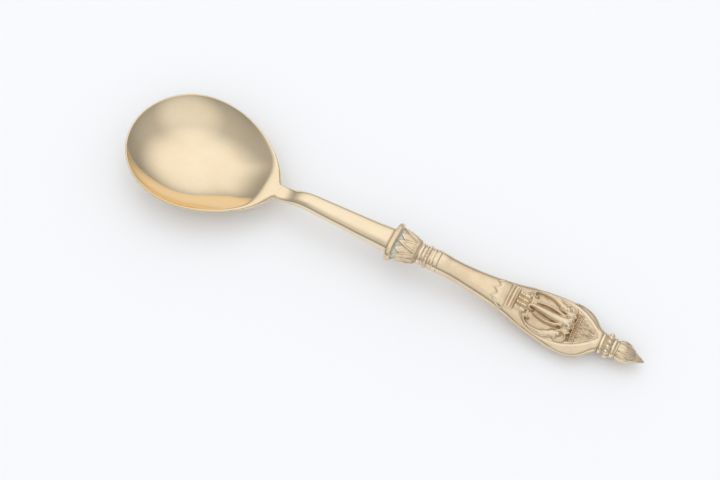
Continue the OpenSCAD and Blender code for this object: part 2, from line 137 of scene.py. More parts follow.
def fbm(x, y, size, seed, octaves=4):
    out, amp = 0.0, 1.0
    for o in range(octaves):
        out = out + amp * noise2(x, y, size / 2**o, seed + o)
        amp *= 0.5
    return out / 1.9


# --------------------------------------------------------------- mesh tools
def build(name, verts, faces, attrs=None, nodes=()):
    """A mesh object from millimetre points; attrs are per-point floats."""
    me = bpy.data.meshes.new(name)
    v = np.asarray(verts, np.float64) * MM
    loops = np.concatenate([np.asarray(f, np.int64).ravel() for f in faces])
    sizes = np.concatenate([np.full(np.asarray(f).shape[0], np.asarray(f).shape[1]) for f in faces])
    me.vertices.add(len(v))
    me.vertices.foreach_set("co", v.astype(np.float32).ravel())
    me.loops.add(len(loops))
    me.loops.foreach_set("vertex_index", loops.astype(np.int32))
    me.polygons.add(len(sizes))
    starts = np.concatenate([[0], np.cumsum(sizes)[:-1]])
    me.polygons.foreach_set("loop_start", starts.astype(np.int32))
    me.update(calc_edges=True)
    me.validate(verbose=False)
    me.polygons.foreach_set("use_smooth", np.ones(len(me.polygons), bool))
    for key, val in (attrs or {}).items():
        a = me.attributes.new(key, "FLOAT", "POINT")
        a.data.foreach_set("value", np.asarray(val, np.float32).ravel())
    ob = bpy.data.objects.new(name, me)
    bpy.context.scene.collection.objects.link(ob)
    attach(ob, "root")
    if nodes:
        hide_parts(*nodes)
    return ob


def loop_faces(m, n, start=0, flip=False):
    """Quads of a tube: m rings of n points."""
    i = np.arange(m - 1)[:, None]
    j = np.arange(n)[None, :]
    a = start + i * n + j
    b = start + i * n + (j + 1) % n
    c = start + (i + 1) * n + (j + 1) % n
    d = start + (i + 1) * n + j
    q = np.stack([a, d, c, b] if not flip else [a, b, c, d], -1).reshape(-1, 4)
    return q


def fan(ring, centre, flip=False):
    r = np.asarray(ring)
    s = np.roll(r, -1)
    c = np.full(len(r), centre)
    return np.stack([r, s, c] if not flip else [s, r, c], -1)


def grid_normals(P, closed=True):
    """Normals of a grid of points, the second axis closed."""
    du = np.gradient(P, axis=0)
    if closed:
        dv = np.roll(P, -1, 1) - np.roll(P, 1, 1)
    else:
        dv = np.gradient(P, axis=1)
    n = np.cross(dv, du)
    n /= np.linalg.norm(n, axis=2, keepdims=True) + 1e-12
    return n


def section(hw, ht, hb, p, nq):
    """One superellipse loop of 4*nq points spaced evenly, from +y over the top."""
    out = []
    for q, (sy, hz) in enumerate([(1, ht), (-1, ht), (-1, -hb), (1, -hb)]):
        a = np.linspace(0, math.pi / 2, 220)
        if q % 2:
            a = a[::-1]
        y = sy * hw * np.cos(a) ** (2 / p)
        z = hz * np.sin(a) ** (2 / p)
        s = np.concatenate([[0], np.cumsum(np.hypot(np.diff(y), np.diff(z)))])
        t = np.linspace(0, s[-1], nq + 1)[:-1]
        out.append(np.stack([np.interp(t, s, y), np.interp(t, s, z)], 1))
    return np.concatenate(out)


def tube(table, xs, nq):
    """Points [i, j, 3] of a loft through a smoothed table."""
    P = np.zeros((len(xs), 4 * nq, 3))
    for i, x in enumerate(xs):
        zc, hw, ht, hb, p = (float(lin(table, x, k)) for k in range(1, 6))
        s = section(hw, ht, hb, p, nq)
        P[i, :, 0], P[i, :, 1], P[i, :, 2] = x, s[:, 0], zc + s[:, 1]
    return P


def ring_arc(P):
    """Share of the way round each ring, from +y over the top."""
    d = np.linalg.norm(np.roll(P, -1, 1) - P, axis=2)
    s = np.concatenate([np.zeros((P.shape[0], 1)), np.cumsum(d, 1)[:, :-1]], 1)
    return s / d.sum(1)[:, None], d.sum(1)


def capped(P, caps=(True, True)):
    """Tube points to verts and faces with closed flat ends."""
    m, n = P.shape[:2]
    verts = [P.reshape(-1, 3)]
    faces = [loop_faces(m, n, flip=True)]
    k = m * n
    verts.append(P[0].mean(0)[None])
    faces.append(fan(np.arange(n), k, flip=True))
    verts.append(P[-1].mean(0)[None])
    faces.append(fan((m - 1) * n + np.arange(n), k + 1, flip=False))
    return np.concatenate(verts), faces


def stack(parts):
    """Several (verts, faces) lists as one, islands kept apart."""
    V, F, k = [], [], 0
    for v, f in parts:
        V.append(v)
        F += [np.asarray(q) + k for q in f]
        k += len(v)
    return np.concatenate(V), F


def rod(x1, x2, r, z, n=48, bevel=0.15):
    """A plain peg along X with eased ends."""
    xs = np.array([x1, x1, x1 + bevel, x2 - bevel, x2, x2])
    rs = np.array([0.02, r - bevel, r, r, r - bevel, 0.02])
    a = np.linspace(0, 2 * math.pi, n, endpoint=False)
    P = np.zeros((len(xs), n, 3))
    for i in range(len(xs)):
        P[i, :, 0] = xs[i]
        P[i, :, 1] = rs[i] * np.cos(a)
        P[i, :, 2] = z + rs[i] * np.sin(a)
    return capped(P)


def relief_mask(h, size):
    """Hollow places (0..1) and proud places (0..1) of a height grid."""
    low = blur1(blur1(h, size, 0), size, 1)
    d = h - low
    return np.clip(-d / 0.16, 0, 1), np.clip(d / 0.16, 0, 1)


# --------------------------------------------------------------------- bowl
def egg(u):
    t = 1 - 2 * np.clip(u, 0, 1)
    return np.sqrt(np.maximum(0, 1 - t * t)) * (0.987 + 0.171 * t - 0.062 * t * t)


def half_width(x):
    u = (np.asarray(x, float) - X0) / BOWL_L
    base = 0.13 * np.clip((u - 0.6) / 0.2, 0, 1)
    return np.where(u <= 0, 0, smax(egg(u), base, 0.15)) * BOWL_W / 2


RIM = np.array([[0, 1], [0.2, 0.91], [0.5, 0.47], [0.8, 0.16], [0.9, 0.06], [1.0, 0.0]])
_u = np.linspace(-0.3, 1.3, 1601)
_w = blur1(ROOT_H + (TIP_H - ROOT_H) * hermite(RIM, np.clip(_u, 0, 1), 1), 35)


def rim_z(x):
    return np.interp((np.asarray(x, float) - X0) / BOWL_L, _u, _w)


def make_bowl():
    cx = X0 + BOWL_L * 0.48
    # outline of one side, from the tip to just inside the shank
    t = np.linspace(0, 1, 6000)
    xx = X0 + (X_ROOT + 0.8 - X0) * (t**2 * (3 - 2 * t) * 0.35 + 0.65 * t**1.7)
    yy = half_width(np.minimum(xx, X_ROOT + 0.8))
    s = np.concatenate([[0], np.cumsum(np.hypot(np.diff(xx), np.diff(yy)))])
    half = 172
    ss = np.linspace(0, s[-1], half)
    ox, oy = np.interp(ss, s, xx), np.interp(ss, s, yy)
    end_n = 13
    ey = np.linspace(oy[-1], -oy[-1], end_n + 2)[1:-1]
    px = np.concatenate([ox, np.full(end_n, ox[-1]), ox[::-1][:-1]])
    py = np.concatenate([oy, ey, -oy[::-1][:-1]])
    n = len(px)

    # smooth polar outlines of the mouth and of the outside, without the root
    A = np.linspace(0, math.pi, 721)
    full = np.interp(A, np.arctan2(yy, xx - cx)[::-1], np.hypot(xx - cx, yy)[::-1])

    def cut(limit, inset, k):
        r = smin(full - inset, limit / np.maximum(np.cos(A), 0.15), k)
        r = np.minimum(r, full - inset)
        m = np.concatenate([r[::-1][:-1], r, r[::-1][1:]])
        return blur1(m, 9)[720:1441]

    mouth_r = cut(X0 + BOWL_L * 0.935 - cx, 0.5, 3.5)
    shell_r = cut(X0 + BOWL_L * 0.975 - cx, 0.0, 3.0)

    def at_angle(table, ang):
        return np.interp(np.abs(ang), A, table)

    def share(x, y, table):
        """0 at the middle, 1 on the outline; an even oval near the middle."""
        rho, ang = np.hypot(x - cx, y), np.arctan2(y, x - cx)
        q = (rho / at_angle(table, ang)) ** 2
        a, b, c = table[0], table[360], table[-1]
        oval = ((x - cx) / ((a + c) / 2)) ** 2 + (y / b) ** 2
        w = smooth01(rho / 17.0)
        return q * w + oval * (1 - w), rho, ang

    # mesh rings: the outline at the edge, an even oval further in
    ang0 = np.arctan2(py, px - cx)
    R0 = np.hypot(px - cx, py)
    arc = np.concatenate([[0], np.cumsum(np.hypot(np.diff(mouth_r * np.cos(A)), np.diff(mouth_r * np.sin(A))))])
    even = np.concatenate([np.linspace(arc[-1], 0, (n + 1) // 2 + 1)])
    order = np.interp(np.linspace(0, 1, n, endpoint=False), [0, 0.5, 1], [math.pi, 0, -math.pi])
    k = np.abs(np.linspace(-1, 1, n, endpoint=False))
    ang1 = np.interp(arc[-1] * k, arc, A) * np.where(np.linspace(-1, 1, n, endpoint=False) < 0, 1, -1)
    start = int(np.argmax(ang0))
    a0 = np.roll(ang0, -start)
    r0 = np.roll(R0, -start)

    def rings(rows, outline_r):
        X, Y = [], []
        for r in rows:
            b = smooth01((1 - r) / 0.13)
            ang = a0 * (1 - b) + ang1 * b
            rad = r * (r0 * (1 - b) + at_angle(outline_r, ang) * b)
            X.append(cx + rad * np.cos(ang))
            Y.append(rad * np.sin(ang))
        return np.array(X), np.array(Y)

    # distance from the side edge, the root's end face left out
    ex = np.concatenate([xx, np.linspace(X_ROOT + 0.8, X_ROOT + 8, 200)])
    eyy = np.concatenate([yy, np.full(200, yy[-1])])
    side = np.stack([np.concatenate([ex[::-1], ex]), np.concatenate([-eyy[::-1], eyy])], 1)[::6]

    def edge_distance(x, y):
        out = np.empty(x.size)
        fx, fy = x.ravel(), y.ravel()
        for i in range(0, x.size, 4000):
            d = np.hypot(fx[i:i + 4000, None] - side[None, :, 0], fy[i:i + 4000, None] - side[None, :, 1])
            out[i:i + 4000] = d.min(1)
        return out.reshape(x.shape)

    def rounding(x, y):
        """Thin lip at the rim, full round at the root."""
        w = smooth01((x + 54.0) / 10.0)
        d, r = edge_distance(x, y), 0.42 + (ROOT_T / 2 - 0.42) * w
        q = np.clip(r - d, 0, r)
        return r - np.sqrt(np.maximum(r * r - q * q, 0))

    def bowl_curve(q, e, c, soft=0.02):
        g = (np.maximum(1 - q + soft, 0) ** e - soft**e) / ((1 + soft) ** e - soft**e)
        return g * (1 + c * np.clip(q, 0, 1))

    # ---- top: land, then the hollow
    near = 1 - np.array([0, 0.0006, 0.0015, 0.003, 0.005, 0.0075, 0.0105, 0.014, 0.018, 0.023, 0.028])
    inner = np.concatenate([near, np.linspace(0.968, 0.86, 40), np.linspace(0.856, 0.74, 22),
                            np.linspace(0.73, 0.02, 72)])
    x, y = rings(inner, full)
    q, rho, ang = share(x, y, mouth_r)
    aft = smooth01((np.cos(ang) - 0.25) / 0.75)
    xe = cx + at_angle(mouth_r, ang) * np.cos(ang)
    zq = rim_z(xe)
    g = bowl_curve(np.minimum(q, 1.0), 0.90 + 0.22 * aft, 0.20)
    hollow = zq + (WALL - zq) * g + np.maximum(q - 1.0, 0) * 8.0
    top = smin(rim_z(x), hollow + 0.03, 0.25 + 0.8 * aft)
    top = top - rounding(x, y)
    # faint unevenness of a hand-polished casting
    top += 0.007 * fbm(x + 200, y + 200, 11.0, 3, 2) * smooth01((22.5 - rho) / 3.0)
    Ptop = np.stack([x, y, top], 2)

    # ---- outside, from the edge down to the foot
    outer = np.concatenate([near[:9], np.linspace(0.975, 0.80, 30), np.linspace(0.79, 0.02, 48)])
    x2, y2 = rings(outer, full)
    q2, rho2, ang2 = share(x2, y2, shell_r)
    aft2 = smooth01((np.cos(ang2) - 0.25) / 0.75)
    xq = cx + np.maximum(rho2, at_angle(shell_r, ang2)) * np.cos(ang2)
    edge = 0.95 + (ROOT_T - 0.95) * smooth01((xq + 54.0) / 10.0)
    brim = rim_z(xq) - edge
    go = bowl_curve(np.minimum(q2, 1.0), 0.86 + 0.26 * aft2, 0.16, 0.01)
    bot = brim * (1 - np.clip(go, 0, 1)) + rounding(x2, y2)
    Pbot = np.stack([x2, y2, np.maximum(bot, 0.0)], 2)
    # both skins share the edge ring
    zt, zb = Ptop[0, :, 2].copy(), Pbot[0, :, 2].copy()
    mids = [np.stack([x[0], y[0], zt + (zb - zt) * f], 1) for f in (0.25, 0.5, 0.75)]
    loops = [Pbot[i] for i in range(len(outer) - 1, -1, -1)]
    loops += [mids[2], mids[1], mids[0]]
    loops += [Ptop[i] for i in range(len(inner))]
    P = np.stack(loops)
    m = P.shape[0]
    verts = np.concatenate([P.reshape(-1, 3),
                            [[cx, 0, float(P[0, :, 2].mean())]],
                            [[cx, 0, float(P[-1, :, 2].mean())]]])
    faces = [loop_faces(m, n), fan(np.arange(n), m * n),
             fan((m - 1) * n + np.arange(n), m * n + 1, flip=True)]
    inside = np.zeros((m, n))
    inside[len(outer) + 3:] = 1.0
    attrs = {"inside": np.concatenate([inside.ravel(), [0, 1]]),
             "cavity": np.zeros(m * n + 2), "proud": np.zeros(m * n + 2)}
    return build("bowl_shell", verts, faces, attrs, ["bowl"])


# -------------------------------------------------------------------- shank
ROOT_MID = ROOT_H - ROOT_T / 2
ROOT_HW = float(half_width(X_ROOT))
SHANK = [
    [X_ROOT, ROOT_MID, ROOT_HW, ROOT_T / 2, ROOT_T / 2, 3.4],
    [X_ROOT + 2.5, ROOT_MID - 0.2, 2.90, 1.2, 1.25, 3.0],
    [X_ROOT + 5.5, ROOT_MID + 0.45, 2.90, 1.5, 1.6, 2.6],
    [X_ROOT + 9, ROOT_MID + 1.85, 3.1, 2.1, 2.2, 2.4],
    [X_ROOT + 13, ROOT_MID + 2.6, 3.3, 2.5, 2.5, 2.3],
    [X_ROOT + 20.5, ROOT_MID + 2.3, 3.6, 2.55, 2.5, 2.3],
    [X_ROOT + 33.5, ROOT_MID + 1.7, 4.1, 2.7, 2.6, 2.3],
    [X_ROOT + 40, ROOT_MID + 1.45, 4.35, 2.9, 2.8, 2.3],
    [X_CAP, ROOT_MID + 1.4, 4.7, 3.15, 3.0, 2.3]]


def make_shank():
    T = smooth_table(SHANK, 0.1, 1.1)
    xs = np.arange(X_ROOT, X_CAP + 0.05, 0.3)
    xs[-1] = X_CAP
    P = tube(T, xs, 34)
    # the first millimetres follow the root's round edge
    w = smooth01(1 - (P[:, :, 0] - X_ROOT) / 4.0)
    zc = P[:, :, 2].mean(1)[:, None]
    d = np.clip(ROOT_HW - np.abs(P[:, :, 1]), 0, None)
    k = np.clip(ROOT_T / 2 - d, 0, ROOT_T / 2)
    flat = np.sqrt(np.maximum((ROOT_T / 2) ** 2 - k * k, 0))
    zt = zc + np.sign(P[:, :, 2] - zc) * flat
    P[:, :, 2] = P[:, :, 2] * (1 - w) + zt * w
    N = grid_normals(P)
    u, per = ring_arc(P)
    disp = 0.035 * fbm(P[:, :, 0] + 300, u * 24 + 50, 7.0, 11, 3)
    fade = smooth01((P[:, :, 0] - X_ROOT) / 5)
    P += N * (disp * fade)[:, :, None]
    body = capped(P)
    tang = rod(X_CAP - 0.5, X_CAP + 22.5, 1.5, CZ)
    V, F = stack([body, tang])
    cav = np.zeros(len(V))
    x = V[:, 0]
    cav += np.clip(1 - np.abs(x - X_CAP) / 0.9, 0, 1) * 0.9
    return build("shank_bar", V, F, {"cavity": cav, "proud": np.zeros(len(V)), "inside": np.zeros(len(V))},
                 ["shank"])


# ------------------------------------------------------------ lotus capital
CAPITAL = [
    [X_CAP, CZ, 6.8, 3.6, 3.6, 2.5],
    [X_CAP + 0.25, CZ, 7.3, 4.1, 4.1, 2.5],
    [X_CAP + 0.9, CZ, 7.5, 4.3, 4.3, 2.5],
    [X_CAP + 1.6, CZ, 7.45, 4.28, 4.28, 2.5],
    [X_CAP + 2.1, CZ, 7.15, 4.05, 4.05, 2.5],
    [X_CAP + 3.3, CZ, 6.85, 3.85, 3.85, 2.5],
    [X_CAP + 4.7, CZ, 6.35, 3.65, 3.65, 2.5],
    [X_CAP + 6.2, CZ, 5.95, 3.5, 3.5, 2.5],
    [X_CAP + 7.8, CZ, 5.65, 3.4, 3.4, 2.45],
    [X_CAP + 9.0, CZ, 5.2, 3.25, 3.25, 2.4],
    [X_CAP + 9.8, CZ, 4.6, 3.0, 3.0, 2.35],
    [X_RING, CZ, 3.85, 2.75, 2.75, 2.3]]


def make_capital():
    T = smooth_table(CAPITAL, 0.02, 0.09)
    xs = np.concatenate([np.arange(X_CAP, X_CAP + 2.4, 0.05), np.arange(X_CAP + 2.4, X_RING, 0.07), [X_RING]])
    nq = 96
    P = tube(T, xs, nq)
    N = grid_normals(P)
    u, per = ring_arc(P)
    x = P[:, :, 0]
    a = (u - 0.25 - 0.012) % 1.0                     # 0 at the top, near side first
    X1, X2 = X_CAP + 2.25, X_CAP + 9.2

    def petal(count, shift, x1, x2, spread, power):
        w = (a * count + shift + 0.5) % 1.0 - 0.5    # -0.5..0.5 across one petal
        v = np.clip((x - x1) / (x2 - x1), 0, 1)
        hw = spread * np.clip(v, 0, 1) ** power
        inside = hw - np.abs(w)                      # > 0 inside the outline
        return w, v, hw, inside

    # front row
    w, v, hw, ins = petal(6, 0.0, X1 + 0.15, X2, 0.5, 0.85)
    pitch = per[:, None] / 6
    d = ins * pitch * 0.86                           # mm from the petal's edge
    front = smooth01(d / 0.22) * smooth01((x - X1 - 0.1) / 0.25)
    belly = 0.13 * np.clip(1 - (w / np.maximum(hw, 1e-3)) ** 2, 0, 1) * smooth01(v * 3) * smooth01((1.06 - v) * 3)
    groove = -0.13 * np.exp(-((d - 0.72) / 0.16) ** 2) * (d > 0)
    rib = 0.03 * np.exp(-((w * pitch) / 0.28) ** 2) * smooth01(v * 4) * smooth01((0.9 - v) * 4)
    z_front = -0.22 + belly + groove + rib
    # back row
    w2, v2, hw2, ins2 = petal(6, 0.5, X1 + 0.25, X1 + 3.4, 0.42, 0.85)
    d2 = ins2 * pitch * 0.9
    back = smooth01(d2 / 0.2) * smooth01((x - X1 - 0.15) / 0.25)
    z_back = -0.52 + 0.05 * np.clip(1 - (w2 / np.maximum(hw2, 1e-3)) ** 2, 0, 1)
    ground = -1.02
    h = ground * (1 - back) + z_back * back
    h = h * (1 - front) + z_front * front
    lotus = smooth01((x - X1 + 0.12) / 0.16) * (1 - smooth01((x - X2 + 0.2) / 0.5))
    h = h * lotus
    # the plain band keeps its shape; a notch runs behind it
    h += -0.25 * np.exp(-((x - X1) / 0.16) ** 2)
    h += -0.12 * np.exp(-((x - (X2 + 0.25)) / 0.25) ** 2)
    h += 0.045 * fbm(x * 1.0 + 40, u * 38 + 20, 2.2, 21, 4)
    P = P + N * h[:, :, None]
    cav, proud = np.zeros_like(h), np.zeros_like(h)
    hb = blur1(blur1(h, 6, 0), 7, 1, wrap=True)
    cav = np.clip((hb - h) / 0.22, 0, 1)
    proud = np.clip((h - hb) / 0.2, 0, 1)
    res = smooth01((-0.62 - h) / 0.25) * lotus * smooth01((X1 + 3.4 - x) / 1.2)
    cav = np.maximum(cav, 0.75 * smooth01((x - X2) / 0.6) * smooth01((X_RING + 0.3 - x) / 0.5))
    V, F = capped(P)
    pad = lambda q: np.concatenate([q.ravel(), [0, 0]])
    return build("lotus_capital_casting", V, F,
                 {"cavity": pad(cav), "proud": pad(proud), "residue": pad(res), "inside": np.zeros(len(V))},
                 ["lotus_capital"])


# --------------------------------------------------------------- ring parts
def ring_piece(name, node, table, x1, zc, p, beads, bead_x, bead_n, bead_r, bead_w, bead_d,
               cave=0.55, step=0.06, nq=72, seed=31, bead_up=1.0, worn=0.075):
    rows = [[x1 + r[0], zc, r[1], r[2], r[2], p] for r in table]
    T = smooth_table(rows, 0.02, worn)
    xs = np.arange(rows[0][0], rows[-1][0] + step / 2, step)
    xs[-1] = rows[-1][0]
    P = tube(T, xs, nq)
    N = grid_normals(P)
    u, per = ring_arc(P)
    x = P[:, :, 0]
    h = 0.03 * fbm(x + 10, u * 30, 1.6, seed, 3)
    if beads:
        i = int(np.argmin(np.abs(xs - bead_x)))
        arc = per[i]
        w = ((u - 0.25) * bead_n + 0.5) % 1.0 - 0.5
        dx = x - bead_x
        dy = w * arc / bead_n
        rr = np.sqrt(dx**2 + dy**2)
        ball = np.sqrt(np.maximum(bead_r**2 - rr**2, 0))
        h = smax(h, ball * bead_up - 0.10, 0.14)
        h += -0.22 * np.exp(-((np.abs(dx) - bead_r - 0.12) / 0.16) ** 2)
    P = P + N * h[:, :, None]
    width = blur1(P[:, :, 1].max(1), 0)
    rad = np.linalg.norm(P[:, :, 1:] - np.array([0, zc]), axis=2)
    rb = blur1(blur1(rad, 7, 0), 5, 1, wrap=True)
    cav = np.clip((rb - rad) / 0.16, 0, 1)
    proud = np.clip((rad - rb) / 0.16, 0, 1)
    V, F = capped(P)
    pad = lambda q: np.concatenate([q.ravel(), [0, 0]])
    return build(name, V, F, {"cavity": pad(cav * cave), "proud": pad(proud), "residue": np.zeros(len(V)),
                              "inside": np.zeros(len(V))}, [node])


NECK = [
    [0, 3.75, 2.95], [0.18, 3.75, 3.0], [0.38, 4.0, 3.2], [0.9, 4.12, 3.3], [1.35, 4.0, 3.2],
    [1.55, 3.7, 2.95], [2.0, 3.7, 2.95], [2.3, 3.95, 3.05], [3.4, 4.05, 3.1], [4.5, 3.95, 3.05],
    [4.75, 3.7, 2.95], [5.0, 3.95, 3.15], [5.4, 4.08, 3.25], [5.8, 3.95, 3.15], [5.95, 3.72, 2.98],
    [6.15, 4.0, 3.2], [6.6, 4.15, 3.35], [6.95, 4.02, 3.25], [7.2, 4.12, 3.33], [7.6, 4.05, 3.28], [7.8, 3.9, 3.15]]
FINRING = [
    [0, 3.6, 2.6], [0.15, 3.75, 2.75], [0.35, 4.05, 2.95], [0.8, 4.18, 3.02], [1.25, 4.0, 2.9], [1.45, 3.6, 2.6],
    [1.9, 3.6, 2.6], [2.2, 3.8, 2.75], [3.05, 3.85, 2.8], [3.9, 3.78, 2.72], [4.2, 3.45, 2.5],
    [4.5, 3.6, 2.6], [4.95, 3.8, 2.75], [5.4, 3.68, 2.65], [5.65, 3.35, 2.4], [6.2, 3.3, 2.4]]


# ------------------------------------------------------------ grip and panel
GRIP = [
    [X_GRIP, 9.62, 4.05, 3.3, 3.2, 2.3],
    [X_GRIP + 5.3, 8.75, 3.8, 3.1, 3.0, 2.3],
    [X_GRIP + 14.5, 7.38, 4.4, 3.05, 2.9, 2.3],
    [X_GRIP + 21.0, 6.85, 5.15, 2.9, 2.9, 2.3],
    [X_GRIP + 27.2, 6.22, 6.35, 2.75, 3.1, 2.3],
    [X_GRIP + 33.6, 5.34, 8.0, 2.6, 3.5, 2.3],
    [X_GRIP + 39.7, 4.64, 9.1, 2.4, 4.0, 2.3],
    [X_GRIP + 46.1, 4.15, 10.0, 2.25, 4.22, 2.3],
    [X_GRIP + 49.8, 4.1, 10.1, 2.2, 4.22, 2.3],
    [X_GRIP + 52.5, 4.15, 9.75, 2.2, 4.22, 2.3],
    [X_GRIP + 54.8, 4.2, 8.9, 2.2, 4.0, 2.25],
    [X_GRIP + 56.8, 4.25, 7.55, 2.3, 3.8, 2.2],
    [X_GRIP + 58.5, FIN_Z, 5.8, 2.5, 3.3, 2.2],
    [X_GRIP + 59.9, FIN_Z, 4.4, 2.75, 2.9, 2.2],
    [X_FIN, FIN_Z, 4.0, 2.75, 2.8, 2.2]]
GT = smooth_table(GRIP, 0.05, 0.8)
FLOOR_X, FLOOR_Z, FLOOR_T = 44.0, 7.55, math.tan(math.radians(5.3))


def floor_z(x):
    return FLOOR_Z - (x - FLOOR_X) * FLOOR_T


def face_z(x, y):
    """The grip's upper skin, before the relief seat is cut."""
    hw, ht, p, zc = lin(GT, x, 2), lin(GT, x, 3), lin(GT, x, 5), lin(GT, x, 1)
    v = np.clip(np.abs(y) / hw, 0, 0.9999)
    return zc + ht * (1 - v**p) ** (1 / p)


ARCH = np.array([[55.2, 4.3], [56.5, 5.6], [58.5, 7.0], [61.5, 7.9], [65, 8.25], [69, 8.1], [72.5, 7.3],
                 [75.5, 6.1], [78.3, 4.4], [80.6, 2.6], [82.3, 0.9], [82.9, 0.0]])


def poly_distance(x, y, pts):
    """Signed distance to a closed outline, positive inside."""
    p = np.asarray(pts, float)
    q = np.roll(p, -1, 0)
    fx, fy = np.asarray(x, float).ravel(), np.asarray(y, float).ravel()
    best = np.full(fx.size, 1e9)
    odd = np.zeros(fx.size, bool)
    for (ax, ay), (bx, by) in zip(p, q):
        dx, dy = bx - ax, by - ay
        t = np.clip(((fx - ax) * dx + (fy - ay) * dy) / (dx * dx + dy * dy + 1e-12), 0, 1)
        best = np.minimum(best, np.hypot(fx - ax - t * dx, fy - ay - t * dy))
        hit = ((ay > fy) != (by > fy)) & (fx < (bx - ax) * (fy - ay) / (by - ay + 1e-12) + ax)
        odd ^= hit
    return np.where(odd, best, -best).reshape(np.shape(x))


def both(t):
    t = np.asarray(t, float)
    m = t[1:-1][::-1].copy() if t[0, 1] == 0 else t[:-1][::-1].copy()
    m[:, 1] *= -1
    return np.concatenate([t, m])


ARCH_LOOP = both(ARCH)
SKIRT = np.array([[43.7, 0.0], [44.5, 0.55], [45.2, 1.3], [45.35, 1.7], [45.0, 2.2], [44.2, 2.9], [43.9, 3.15],
                  [44.5, 3.45], [45.4, 4.2], [46.6, 5.1], [47.6, 5.6], [48.6, 5.75], [49.2, 5.2], [49.3, 4.6],
                  [52.8, 4.5], [52.9, 4.0], [57.2, 3.6], [57.6, 0.0]])
SKIRT_LOOP = both(SKIRT)


def seg_blob(x, y, pts):
    """Height of a tapered round limb; pts are (x, y, radius, height)."""
    best = np.full(np.shape(x), -9.0)
    along = np.zeros(np.shape(x))
    run = 0.0
    for (ax, ay, ar, ah), (bx, by, br, bh) in zip(pts[:-1], pts[1:]):
        dx, dy = bx - ax, by - ay
        L = math.hypot(dx, dy)
        t = np.clip(((x - ax) * dx + (y - ay) * dy) / (L * L), 0, 1)
        d = np.hypot(x - ax - t * dx, y - ay - t * dy)
        r, hh = ar + (br - ar) * t, ah + (bh - ah) * t
        h = np.where(d < r, hh * np.sqrt(np.maximum(1 - (d / r) ** 2, 0)), -3.0 * (d / r - 1))
        pick = h > best
        along = np.where(pick, run + t * L, along)
        best = np.maximum(best, h)
        run += L
    return best, along


def dome(x, y, cx, cy, rx, ry, h, turn=0.0, sharp=0.5):
    c, s = math.cos(math.radians(turn)), math.sin(math.radians(turn))
    u, v = ((x - cx) * c + (y - cy) * s) / rx, (-(x - cx) * s + (y - cy) * c) / ry
    d2 = u * u + v * v
    return np.where(d2 < 1, h * np.maximum(1 - d2, 0) ** sharp, -2.0 * (np.sqrt(d2) - 1))


def spline(pts, n=8):
    """Rounds a limb's path by Catmull-Rom."""
    p = np.asarray(pts, float)
    q = np.concatenate([[2 * p[0] - p[1]], p, [2 * p[-1] - p[-2]]])
    out = []
    for i in range(1, len(q) - 2):
        for t in np.linspace(0, 1, n, endpoint=False):
            a, b, c, d = q[i - 1], q[i], q[i + 1], q[i + 2]
            out.append(0.5 * ((2 * b) + (-a + c) * t + (2 * a - 5 * b + 4 * c - d) * t * t
                              + (-a + 3 * b - 3 * c + d) * t**3))
    out.append(p[-1])
    return np.asarray(out)


